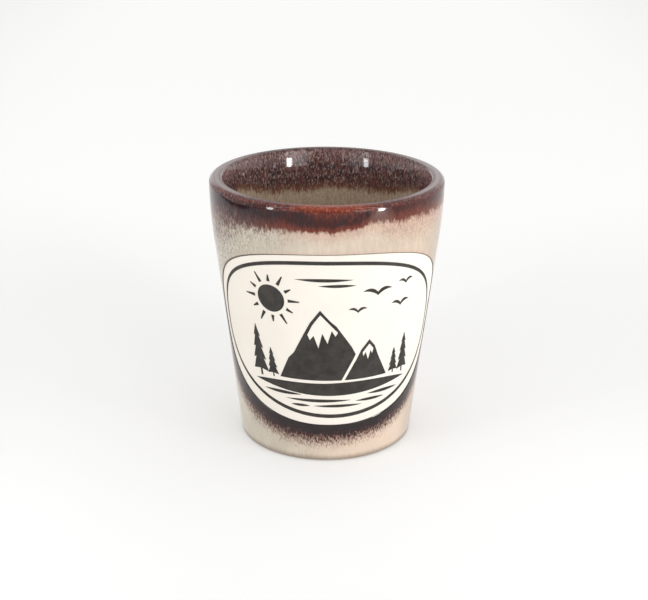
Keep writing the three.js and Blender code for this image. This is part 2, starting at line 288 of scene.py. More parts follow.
def write_attribute(piece: bpy.types.Object, name: str, values: Array) -> None:
    """Stores a number or a vector on every point of a mesh, for its material to read.

    Args:
        piece: The object.
        name: The attribute's name.
        values: One number or three numbers for each point.
    """
    kind, field = ("FLOAT", "value") if values.ndim == 1 else ("FLOAT_VECTOR", "vector")
    attribute = piece.data.attributes.new(name, kind, "POINT")
    attribute.data.foreach_set(field, values.astype(np.float32).ravel())


def install(piece: bpy.types.Object, node: str, slot: Slot, material: bpy.types.Material) -> None:
    """Puts a finished piece in the place of its CAD node.

    Args:
        piece: The finished piece.
        node: The CAD node that it stands for.
        slot: Not used.
        material: Its material.
    """
    piece.data.materials.append(material)
    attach(piece, BODY)
    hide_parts(node)
    LOG.info("%s stands for %s, %d triangles", piece.name, node, len(piece.data.polygons))


# The cup's form


@dataclass(frozen=True)
class CupForm:
    """The finished, glazed cup as formulas: every surface is a radius that changes with the height."""

    height: float = 58.4 * MM
    rim_radius: float = 25 * MM
    cone_foot_radius: float = 19.12 * MM
    shoulder_height: float = 45 * MM
    wall_hollow: float = 0.1 * MM
    heel_round: float = 0.5 * MM
    wall_thickness: float = 2.84 * MM
    floor_thickness: float = 5.2 * MM
    well_round: float = 5 * MM
    lip_outer_round: float = 1.1 * MM
    lip_inner_round: float = 0.6 * MM
    foot_radius: float = 18.4 * MM
    foot_ring_width: float = 3.4 * MM
    foot_recess: float = 0.8 * MM
    foot_recess_slope: float = 0.5 * MM
    glaze: float = 0.4 * MM
    throat_round: float = 17 * MM
    throat_tilts: tuple[float, float] = (22.0, 2.8)
    throat_foot_share: float = 0.35
    crown_tilts: tuple[float, float] = (7.0, 24.0)
    crown_samples: int = 24
    floor_rings: int = 16

    @property
    def lip_height(self) -> float:
        """Height where the outer round of the lip begins."""
        return self.height - self.lip_outer_round

    @property
    def inner_base(self) -> float:
        """Height where the inner round of the lip ends."""
        return self.height - self.lip_inner_round

    @property
    def well_top(self) -> float:
        """Height where the inside wall ends and the rounded corner of the floor begins."""
        return self.floor_thickness + self.well_round

    @property
    def outer_centre(self) -> float:
        """Radius of the ring round which the lip's outer round turns."""
        return self.rim_radius - self.lip_outer_round

    @property
    def inner_centre(self) -> float:
        """Radius of the ring round which the lip's inner round turns."""
        return self.rim_radius - self.wall_thickness + self.lip_inner_round

    def outer_radius(self, z: Array) -> Array:
        """Outside radius: a slightly hollow cone up to the shoulder, then a curve that ends upright at the lip.

        Below the shoulder r = lerp(cone foot, shoulder, s) - 4 hollow s (1 - s) - the heel's round, s = z / shoulder
        height. Above it r = shoulder + slope rise (1 - rise / 2 reach), where reach ends at the lip.

        Args:
            z: Heights.

        Returns:
            The radii.
        """
        reach = self.lip_height - self.shoulder_height
        stand = reach / (2 * self.shoulder_height)
        shoulder = (self.rim_radius + stand * (self.cone_foot_radius - 4 * self.wall_hollow)) / (1 + stand)
        slope = (shoulder - self.cone_foot_radius + 4 * self.wall_hollow) / self.shoulder_height
        rise = np.minimum(z, self.lip_height) - self.shoulder_height
        above = shoulder + slope * rise * (1 - rise / (2 * reach))
        s = z / self.shoulder_height
        below = np.clip(self.heel_round - z, 0, self.heel_round)
        heel = self.heel_round - np.sqrt(self.heel_round**2 - below**2)
        cone = self.cone_foot_radius + (shoulder - self.cone_foot_radius) * s - 4 * self.wall_hollow * s * (1 - s)
        return np.where(z > self.shoulder_height, above, cone - heel)

    def radius_at(self, z: float) -> float:
        """Outside radius at one height."""
        return float(self.outer_radius(np.array(z)))

    def plain_inner_radius(self, z: Array) -> Array:
        """Inside radius of the plain wall: the outside radius less the wall's thickness."""
        return self.outer_radius(z) - self.wall_thickness

    def throat(self) -> tuple[float, float, float, float]:
        """Ends of the throat, the slow curve that leads from the lip's inner round into the wall.

        Returns:
            Height and radius of its upper end, and height and radius of its lower end.
        """
        top, low = (math.radians(tilt) for tilt in self.throat_tilts)
        top_z = self.inner_base + self.lip_inner_round * math.sin(top)
        top_r = self.inner_centre - self.lip_inner_round * math.cos(top)
        low_z = top_z - self.throat_round * (math.sin(top) - math.sin(low))
        low_r = top_r - self.throat_round * (math.cos(low) - math.cos(top))
        return top_z, top_r, low_z, low_r

    def inner_radius(self, z: Array) -> Array:
        """Inside radius, with the throat below the lip and the wall's swelling under it.

        In the throat the surface tilts by a, sin a = sin top - (top z - z) / round, and r = top r - round
        (cos a - cos top). Below it r = plain r - swelling step(z), where the smooth step rises from the
        throat's foot to its lower end.

        Args:
            z: Heights.

        Returns:
            The radii.
        """
        top_z, top_r, low_z, low_r = self.throat()
        top = math.radians(self.throat_tilts[0])
        sine = np.clip(math.sin(top) - (top_z - z) / self.throat_round, -1, 1)
        curved = top_r - self.throat_round * (np.sqrt(1 - sine**2) - math.cos(top))
        foot_z = self.well_top + (low_z - self.well_top) * self.throat_foot_share
        swelling = self.radius_at(low_z) - self.wall_thickness - low_r
        return np.where(z > low_z, curved, self.plain_inner_radius(z) - swelling * smooth_step(z, foot_z, low_z))

    def crown(self, steps: int) -> Array:
        """Path of the low dome between the lip's rounds.

        It is (1-t)^2 p + 2t(1-t) c + t^2 q, with c where the tangents at both ends meet.

        Args:
            steps: Steps of the dome.

        Returns:
            Rows of radius and height, from the outer round to the inner one.
        """
        a, b = np.radians(self.crown_tilts)
        p = np.array([self.outer_centre, self.lip_height]) + self.lip_outer_round * np.array([np.sin(a), np.cos(a)])
        q = np.array([self.inner_centre, self.inner_base]) + self.lip_inner_round * np.array([-np.sin(b), np.cos(b)])
        r = (p[1] - q[1] + p[0] * np.tan(a) + q[0] * np.tan(b)) / (np.tan(a) + np.tan(b))
        c = np.array([r, p[1] + (p[0] - r) * np.tan(a)])
        t = shares(steps)
        return (1 - t) ** 2 * p + 2 * t * (1 - t) * c + t**2 * q

    def pressed(self, z: Array) -> Array:
        """Heights above the lip's start, pressed so that the dome's top ends at the height: s + (z - s) share."""
        start, top = self.lip_height, float(self.crown(self.crown_samples)[:, 1].max())
        return np.where(z > start, start + (z - start) * (self.height - start) / (top - start), z)

    def place(self, azimuth: Array, radius: Array, z: Array) -> Array:
        """Points at (r sin a, -r cos a, z), where a is the azimuth.

        Args:
            azimuth: Azimuths in degrees.
            radius: Distances from the axis.
            z: Heights.

        Returns:
            The points, with a last axis of three.
        """
        turn = np.radians(azimuth)
        radius, z, turn = np.broadcast_arrays(radius, z, turn)
        return np.stack([radius * np.sin(turn), -radius * np.cos(turn), z], -1)

    def outside(self, azimuth: Array, z: Array, depth: Array | float = 0.0) -> Array:
        """Points of the outside wall, a given depth below its finished surface."""
        return self.place(azimuth, self.outer_radius(z) - depth, z)

    def layer(
        self, azimuth: Array, z: Array, depth: Array | float = 0.0, back: float | None = None,
    ) -> tuple[Array, Array]:
        """A layer on the outside wall.

        Args:
            azimuth: Azimuths.
            z: Heights.
            depth: How deep its front lies below the finished surface.
            back: How deep its back lies, or None for the depth of the clay.

        Returns:
            Its front and its back.
        """
        return self.outside(azimuth, z, depth), self.outside(azimuth, z, self.glaze if back is None else back)

    def well(self, steps: int) -> tuple[Array, Array]:
        """Path of the inside corner and the floor: a quarter round of turn t, r = c + R cos t, then in to the axis.

        Args:
            steps: Steps of the corner.

        Returns:
            The path's points as rows of radius and height, and the directions away from the drink.
        """
        centre_r = self.radius_at(self.well_top) - self.wall_thickness - self.well_round
        turn = np.linspace(0, -math.pi / 2, steps + 1)
        away = np.stack([np.cos(turn), np.sin(turn)], -1)
        corner = np.array([centre_r, self.well_top]) + self.well_round * away
        share = 1 - shares(self.floor_rings)[1:, 0]
        floor = np.stack([centre_r * share, np.full_like(share, self.floor_thickness)], -1)
        down = np.tile([0.0, -1.0], (len(share), 1))
        return np.concatenate([corner, floor]), np.concatenate([away, down])


@dataclass(frozen=True)
class Badge:
    """An outline wrapped round the wall: half an angle across, a lower and an upper height, and its fullness.

    Across it runs from -1 to 1 of its half angle. Its reach there is (1 - |across|^(1/share))^share.
    """

    SLOPE_STEP = 0.05 * MM

    middle: float
    half_angle: float
    bottom: float
    top: float
    widest_share: float
    upper_share: float
    lower_share: float

    @property
    def widest(self) -> float:
        """Height of the widest line."""
        return self.bottom + (self.top - self.bottom) * self.widest_share

    def grown(self, by: float, radius: float) -> "Badge":
        """The same outline, grown by a length up, down and to both sides."""
        half_angle = self.half_angle + math.degrees(by / radius)
        return replace(self, half_angle=half_angle, bottom=self.bottom - by, top=self.top + by)

    def reach(self, across: Array, share: float) -> Array:
        """How much of its full height the outline reaches: (1 - |across|^(1/share))^share."""
        return (1 - np.minimum(np.abs(across), 1) ** (1 / share)) ** share

    def upper(self, across: Array) -> Array:
        """Height of the upper curve."""
        return self.widest + (self.top - self.widest) * self.reach(across, self.upper_share)

    def lower(self, across: Array) -> Array:
        """Height of the lower curve."""
        return self.widest - (self.widest - self.bottom) * self.reach(across, self.lower_share)

    def size_through(self, across: Array, z: Array) -> Array:
        """Size of the like outline through a point, as a share of this one: (|across|^p + |rise|^p)^(1/p)."""
        upper = z > self.widest
        power = 1 / np.where(upper, self.upper_share, self.lower_share)
        rise = (z - self.widest) / np.where(upper, self.top - self.widest, self.widest - self.bottom)
        return (np.abs(across) ** power + np.abs(rise) ** power) ** (1 / power)

    def distance(self, azimuth: Array, z: Array, radius: float) -> Array:
        """Way from the outline to a point outside it: (size - 1) / |slope of size|, both measured on the wall.

        Args:
            azimuth: Azimuths of the points.
            z: Heights of the points.
            radius: The wall's radius.

        Returns:
            The distances, minus inside the outline.
        """
        size, step = self.size_through, self.SLOPE_STEP
        turn = step / (math.radians(self.half_angle) * radius)
        across = ((azimuth - self.middle + 180) % 360 - 180) / self.half_angle
        sideways = (size(across + turn, z) - size(across - turn, z)) / (2 * step)
        upwards = (size(across, z + step) - size(across, z - step)) / (2 * step)
        return (size(across, z) - 1) / np.hypot(sideways, upwards)

    def azimuth(self, across: Array) -> Array:
        """Azimuth of places across the outline."""
        return self.middle + across * self.half_angle


@dataclass(frozen=True)
class Layout:
    """Where the glazes, the panel and the print meet on the wall."""

    DRIP_STEPS = np.linspace(-1.5, 1.5, 6)

    form: CupForm = CupForm()
    panel: Badge = Badge(3.4, 78.2, 9.1 * MM, 48.5 * MM, 0.514, 0.413, 0.444)
    border: Badge = Badge(2.1, 71.8, 10.8 * MM, 47.2 * MM, 0.467, 0.427, 0.5)
    border_top_width: float = 0.8 * MM
    border_bottom_width: float = 0.87 * MM
    border_side_angle: float = 1.4
    print_lean: float = -0.054
    panel_sink: float = 0.15 * MM
    ink_height: float = 0.04 * MM
    edge_roll: float = 0.3 * MM
    shade_depth: float = 3.2 * MM
    rim_limits: tuple[float, float] = (52.6 * MM, 54.6 * MM)
    window_columns: int = 168
    back_columns: int = 120
    outer_drips: Table = (
        (-180, 52.9), (-160, 53.8), (-140, 52.4), (-120, 53.3), (-100, 51.2), (-77, 48.5), (-64, 49.2),
        (-57, 50.2), (-50, 51.6), (-45, 52.0), (-39, 52.4), (-31, 52.8), (-20, 53.3), (-12, 53.3), (-5, 53.2),
        (-1, 53.6), (3, 53.0), (7, 53.6), (12, 53.7), (16, 54.2), (20, 54.9), (25, 55.3), (29, 54.8), (33, 54.2),
        (42, 54.5), (50, 54.4), (60, 54.2), (70, 54.0), (85, 53.4), (105, 53.9), (125, 52.8), (145, 53.6),
        (165, 52.6), (180, 52.9),
    )
    inner_drips: Table = (
        (-180, 49.6), (-165, 49.1), (-140, 49.6), (-130, 50.6), (-115, 52.4), (-90, 52.0), (-60, 50.8), (-30, 50.0),
        (0, 50.2), (30, 50.0), (60, 50.8), (90, 51.6), (111, 52.6), (122, 51.5), (135, 49.9), (160, 49.3),
        (180, 49.6),
    )

    @property
    def window(self) -> Badge:
        """Outline where the outside glaze starts to roll down to the panel."""
        return self.panel.grown(self.edge_roll, self.form.radius_at(self.panel.top))

    @property
    def ink_depth(self) -> float:
        """How deep the ink's face lies below the glaze."""
        return self.panel_sink - self.ink_height

    def across(self) -> Array:
        """Places across the window, -cos(pi i / n), closer together towards both ends."""
        return -np.cos(np.pi * np.arange(self.window_columns + 1) / self.window_columns)

    def back_azimuths(self) -> Array:
        """Azimuths from the window's right end round the back to its left end."""
        start = self.window.middle + self.window.half_angle
        end = self.window.middle - self.window.half_angle + 360
        return np.linspace(start, end, self.back_columns + 1)

    def all_azimuths(self) -> Array:
        """Azimuths of every column round the cup, first and last the same."""
        return np.concatenate([self.window.azimuth(self.across()), self.back_azimuths()[1:]])

    @staticmethod
    def drip_line(table: Table, azimuth: Array) -> Array:
        """Height of a glaze's lower edge: the table's heights, joined and rounded over 3 degrees.

        Args:
            table: Pairs of an azimuth and a height in millimetres.
            azimuth: Azimuths.

        Returns:
            The heights in metres.
        """
        turn = (azimuth + 180) % 360 - 180
        near = [along_turn(table, (turn + step + 180) % 360 - 180) for step in Layout.DRIP_STEPS]
        return np.mean(near, 0) * MM

    def outer_edge(self, azimuth: Array) -> Array:
        """Height of the brown glaze's lower edge outside."""
        return self.drip_line(self.outer_drips, azimuth)

    def inner_edge(self, azimuth: Array) -> Array:
        """Height of the brown glaze's lower edge inside."""
        return self.drip_line(self.inner_drips, azimuth)

    def rim_edge(self, azimuth: Array) -> Array:
        """Where the lip's glaze ends as a layer outside, which stays near its mean height."""
        return np.clip(self.outer_edge(azimuth), *self.rim_limits)

    def print_azimuth(self, z: Array) -> Array:
        """Azimuth of the print's middle line, which leans as it rises."""
        eye = (self.border.bottom + self.border.top) / 2
        return self.border.middle + np.degrees(self.print_lean * (z - eye) / self.form.radius_at(eye))

    def shade_bottom(self, across: Array) -> Array:
        """Lower edge of the brown shade: the window's lower curve less depth (1 - across^2)."""
        return self.window.lower(across) - self.shade_depth * (1 - across**2)


# Finishes


class Nodes:
    """Nodes of a tree, added and joined one call at a time."""

    def __init__(self, tree: bpy.types.NodeTree) -> None:
        """Takes the tree that gets the nodes."""
        self.tree = tree

    def put(self, socket: Socket, value: object) -> None:
        """Joins a socket to another one, or sets its value.

        Args:
            socket: The input socket.
            value: An output socket, a number, a vector or a colour.
        """
        if isinstance(value, bpy.types.NodeSocket):
            self.tree.links.new(value, socket)
        elif socket.type == "RGBA" and len(value) == 3:
            socket.default_value = (*value, 1.0)
        else:
            socket.default_value = value

    def stretched(self, vector: Socket, scale: Colour) -> Socket:
        """Scales a vector along each axis."""
        node = self.tree.nodes.new("ShaderNodeMapping")
        self.put(node.inputs["Vector"], vector)
        node.inputs["Scale"].default_value = scale
        return node.outputs["Vector"]

    def noise(self, vector: Socket, scale: float, detail: float = 2.0, roughness: float = 0.5) -> Socket:
        """Cloudy noise from about 0.2 to 0.8, with a feature every 1 / scale.

        Args:
            vector: Where it is read.
            scale: Features for each unit of length.
            detail: How many finer layers are added.
            roughness: How strong the finer layers are.

        Returns:
            The noise's socket.
        """
        node = self.tree.nodes.new("ShaderNodeTexNoise")
        self.put(node.inputs["Vector"], vector)
        for name, value in (("Scale", scale), ("Detail", detail), ("Roughness", roughness)):
            node.inputs[name].default_value = value
        return node.outputs[0]

    def calc(self, operation: str, *values: Socket | float) -> Socket:
        """One sum of one to three numbers."""
        node = self.tree.nodes.new("ShaderNodeMath")
        node.operation = operation
        for socket, value in zip(node.inputs, values):
            self.put(socket, value)
        return node.outputs[0]

    def split(self, vector: Socket) -> Sequence[Socket]:
        """The three numbers of a vector."""
        node = self.tree.nodes.new("ShaderNodeSeparateXYZ")
        self.put(node.inputs[0], vector)
        return node.outputs

    def shaken(self, value: Socket, noise: Socket, amount: Socket | float) -> Socket:
        """A number moved by noise: value + (noise - 0.5) amount."""
        return self.calc("MULTIPLY_ADD", self.calc("SUBTRACT", noise, 0.5), amount, value)

    def rise(
        self, value: Socket, low: Socket | float, high: Socket | float, start: float = 0.0, end: float = 1.0,
    ) -> Socket:
        """A smooth change from start to end, while the value goes from low to high.

        Args:
            value: The number that drives it.
            low: Where the change starts.
            high: Where the change ends.
            start: The result up to there.
            end: The result from there on.

        Returns:
            The result's socket.
        """
        node = self.tree.nodes.new("ShaderNodeMapRange")
        node.interpolation_type = "SMOOTHSTEP"
        for socket, number in zip(node.inputs, (value, low, high, start, end)):
            self.put(socket, number)
        return node.outputs[0]

    def share(self, *steps: Sequence[Socket | float]) -> Socket:
        """Product of smooth changes.

        Args:
            steps: For each change what rise() takes: its driver, low and high, and maybe its start and end.

        Returns:
            The product's socket.
        """
        return reduce(partial(self.calc, "MULTIPLY"), [self.rise(*step) for step in steps])

    def ramp(self, value: Socket, stops: Sequence[tuple[float, Colour]]) -> Socket:
        """Colours along a scale of real numbers.

        Args:
            value: The number that drives it.
            stops: Pairs of a number and a colour, in rising order.

        Returns:
            The colour's socket.
        """
        low, high = stops[0][0], stops[-1][0]
        share = self.calc("DIVIDE", self.calc("SUBTRACT", value, low), high - low)
        node = self.tree.nodes.new("ShaderNodeValToRGB")
        elements = node.color_ramp.elements
        for _ in stops[2:]:
            elements.new(0.5)
        for element, (at, colour) in zip(elements, stops):
            element.position = (at - low) / (high - low)
            element.color = (*colour, 1.0)
        self.put(node.inputs[0], share)
        return node.outputs[0]

    def blend(self, share: Socket | float, first: object, second: object, mode: str = "MIX") -> Socket:
        """Mixes two colours.

        Args:
            share: How much of the second shows, from 0 to 1.
            first: A colour or its socket.
            second: A colour or its socket.
            mode: The way that they mix.

        Returns:
            The colour's socket.
        """
        node = self.tree.nodes.new("ShaderNodeMix")
        node.data_type, node.blend_type = "RGBA", mode
        self.put(node.inputs[0], share)
        self.put(node.inputs[6], first)
        self.put(node.inputs[7], second)
        return node.outputs[2]

    def laid(self, ground: object, colour: object, *steps: Sequence[Socket | float]) -> Socket:
        """Lays a colour over the ground, as thickly as the product of the smooth changes says."""
        return self.blend(self.share(*steps), ground, colour)

    def toned(self, colour: object, tone: Socket) -> Socket:
        """Makes a colour lighter or darker by one number.

        Args:
            colour: A colour or its socket.
            tone: What it is multiplied by.

        Returns:
            The colour's socket.
        """
        grey = self.tree.nodes.new("ShaderNodeCombineXYZ")
        for socket in grey.inputs:
            self.put(socket, tone)
        return self.blend(1.0, colour, grey.outputs[0], "MULTIPLY")


class Paint(Nodes):
    """A material with one glossy shader, and its nodes."""

    def __init__(self, name: str) -> None:
        """Starts the material.

        Args:
            name: The material's name.
        """
        self.material = bpy.data.materials.new(name)
        self.material.use_nodes = True
        super().__init__(self.material.node_tree)
        self.shader = next(node for node in self.tree.nodes if node.type == "BSDF_PRINCIPLED")

    def set(self, **values: object) -> None:
        """Sets the shader's own sockets, each named by its label in small letters."""
        for name, value in values.items():
            label = next(s for s in self.shader.inputs if s.name.lower().replace(" ", "_") == name)
            self.put(label, value)

    def stored(self, name: str, vector: bool = False) -> Socket:
        """Reads an attribute of the mesh."""
        node = self.tree.nodes.new("ShaderNodeAttribute")
        node.attribute_name = name
        return node.outputs["Vector" if vector else "Fac"]

    def place(self) -> Socket:
        """Reads the point's place in the object's own frame, in metres."""
        return self.tree.nodes.new("ShaderNodeTexCoord").outputs["Object"]

    def relief(self, height: Socket, distance: float, strength: float = 1.0) -> None:
        """Gives the surface a fine relief.

        Args:
            height: The relief, from 0 to 1.
            distance: Its real height in metres.
            strength: How much of it shows.
        """
        node = self.tree.nodes.new("ShaderNodeBump")
        node.inputs["Strength"].default_value = strength
        node.inputs["Distance"].default_value = distance
        self.put(node.inputs["Height"], height)
        self.put(self.shader.inputs["Normal"], node.outputs[0])


@dataclass(frozen=True)
class GlazeMap:
    """Numbers that every glazed point carries, so that the glazes run into each other without a seam.

    run: the point unrolled on a round of one radius, and its way along the profile, all in millimetres
    along: way along the profile from the lip's crown, minus outside and plus inside, in millimetres
    brown_reach: height above the brown glaze's lower edge, in millimetres
    brown_soft: half of the height over which that edge breaks up, in millimetres
    brown_body: how thickly the brown glaze lies, from 0 to 1
    halo_reach: 1 in the solid shade round the panel, down to 0 where its streaks end
    panel_way: way to the panel's edge, in millimetres
    inside: 0 outside the cup and 1 inside
    """

    layout: Layout
    round_radius: float = 22.0
    halo_solid: float = 1.8 * MM
    halo_end: float = 6.5 * MM
    halo_fade: float = 6 * MM
    wall_middle: float = 1.2 * MM
    least_radius: float = 0.5 * MM
    halo_spread: Table = ((-90, 1.2), (-40, 1.12), (0, 1.0), (40, 0.95), (90, 0.85))
    halo_narrows: tuple[float, float, float] = (0.2, 0.95, 0.9)
    soft: Table = (
        (-180, 1.0), (-110, 1.4), (-92, 3.0), (-64, 3.2), (-56, 2.4), (-45, 1.8), (-20, 1.2), (-13, 0.65), (18, 0.7),
        (26, 1.2), (50, 1.5), (70, 1.1), (110, 1.2), (180, 1.0),
    )
    body: Table = (
        (-180, 0.7), (-100, 0.6), (-75, 0.2), (-62, 0.3), (-54, 0.6), (-45, 0.8), (-30, 0.9), (-14, 0.9), (-8, 1.0),
        (14, 1.0), (19, 0.7), (24, 0.2), (28, 0.35), (34, 0.85), (60, 0.85), (70, 0.65), (100, 0.6), (180, 0.7),
    )

    def along(self, radius: Array, z: Array, inside: Array) -> Array:
        """Way along the profile, in millimetres, 0 on the middle of the crown.

        Args:
            radius: Distances from the axis.
            z: Heights.
            inside: True for points of the inside.

        Returns:
            The way, minus outside and plus inside.
        """
        form, quarter = self.layout.form, math.pi / 2
        middle = (form.outer_centre + form.inner_centre) / 2
        half = (form.outer_centre - form.inner_centre) / 2
        outer_turn = np.arctan2(z - form.lip_height, radius - form.outer_centre)
        outer_arc = -(half + form.lip_outer_round * (quarter - outer_turn))
        outer_wall = -(half + form.lip_outer_round * quarter + form.lip_height - z)
        inner_turn = np.arctan2(z - form.inner_base, radius - form.inner_centre)
        inner_arc = half + form.lip_inner_round * (inner_turn - quarter)
        inner_wall = half + form.lip_inner_round * quarter + form.inner_base - z
        floor = np.maximum(form.radius_at(form.floor_thickness) - form.wall_thickness - radius, 0)
        way = np.select(
            [~inside & (z < form.lip_height), radius > form.outer_centre, radius > form.inner_centre,
             z > form.inner_base, z > form.well_top],
            [outer_wall, outer_arc, middle - radius, inner_arc, inner_wall],
            inner_wall + floor,
        )
        return way / MM

    def halo(self, azimuth: Array, way: Array, z: Array) -> Array:
        """Strength of the shade round the panel: 1 up to the solid edge, then falling to 0 at the streaks' end.

        Both narrow as they rise along the panel's sides: f = spread (1 - narrowing step(height)), strength =
        1 - (way - solid f) / ((end - solid) f). Above the widest line the shade soon ends.

        Args:
            azimuth: Azimuths.
            way: Ways to the panel's edge.
            z: Heights.

        Returns:
            The strength, from -1 to 1.5.
        """
        panel = self.layout.panel
        start, end, most = self.halo_narrows
        narrowed = 1 - most * smooth_step((z - panel.bottom) / (panel.widest - panel.bottom), start, end)
        narrowed = narrowed * along_turn(self.halo_spread, azimuth)
        strength = 1 - (way - self.halo_solid * narrowed) / ((self.halo_end - self.halo_solid) * narrowed)
        return np.clip(strength - 3 * smooth_step(z, panel.widest, panel.widest + self.halo_fade), -1, 1.5)

    def write(self, piece: bpy.types.Object) -> None:
        """Stores the numbers on a glazed piece.

        Args:
            piece: The piece.
        """
        x, y, z = read_points(piece).T
        radius, azimuth = np.hypot(x, y), np.degrees(np.arctan2(x, -y))
        layout, form = self.layout, self.layout.form
        middle = (form.outer_centre + form.inner_centre) / 2
        inside = radius < np.where(z > form.lip_height, middle, form.outer_radius(z) - self.wall_middle)
        along = self.along(radius, z, inside)
        turned_in = np.clip((middle - radius) / (form.outer_centre - form.inner_centre) + 0.5, 0, 1)
        share = np.where(z > form.lip_height, turned_in, inside)
        edge = (1 - share) * layout.outer_edge(azimuth) + share * layout.inner_edge(azimuth)
        safe = np.maximum(radius, self.least_radius)
        way = layout.panel.distance(azimuth, z, form.radius_at(layout.panel.widest))
        numbers = {
            "run": np.stack([x / safe * self.round_radius, y / safe * self.round_radius, along], -1),
            "along": along,
            "brown_reach": (z - edge) / MM,
            "brown_soft": along_turn(self.soft, azimuth),
            "brown_body": along_turn(self.body, azimuth),
            "halo_reach": self.halo(azimuth, way, z),
            "panel_way": np.clip(way / MM, -1, 10),
            "inside": share,
        }
        for name, values in numbers.items():
            write_attribute(piece, name, values)


class GlazePaint(Paint):
    """The glazes' material while it is made, with the numbers and the noises that its layers depend on."""

    def __init__(self, name: str) -> None:
        """Starts the material, reads what the mesh stores and makes the noises.

        Args:
            name: The material's name.
        """
        super().__init__(name)
        self.x, self.y, self.z = self.split(self.place())
        self.along, self.within = self.stored("along"), self.stored("inside")
        self.reach, self.soft = self.stored("brown_reach"), self.stored("brown_soft")
        self.body, self.halo = self.stored("brown_body"), self.stored("halo_reach")
        self.panel_way = self.stored("panel_way")
        self.run = self.stored("run", vector=True)
        self.turned = self.split(self.run)[0]
        self.hair = self.drawn_out(0.16, 2.2, 0.55)
        self.dash = self.drawn_out(0.36, 2.0, 0.5)
        self.drip = self.drawn_out(0.08, 0.6, 0.5)
        self.speck = self.drawn_out(0.6, 2.8, 0.65)
        self.slow = self.noise(self.run, 0.25, 3.0, 0.6)

    def drawn_out(self, squeeze: float, scale: float, roughness: float) -> Socket:
        """Noise drawn out down the wall, where its features are as many times rarer as the squeeze says."""
        return self.noise(self.stretched(self.run, (1, 1, squeeze)), scale, 2.0, roughness)


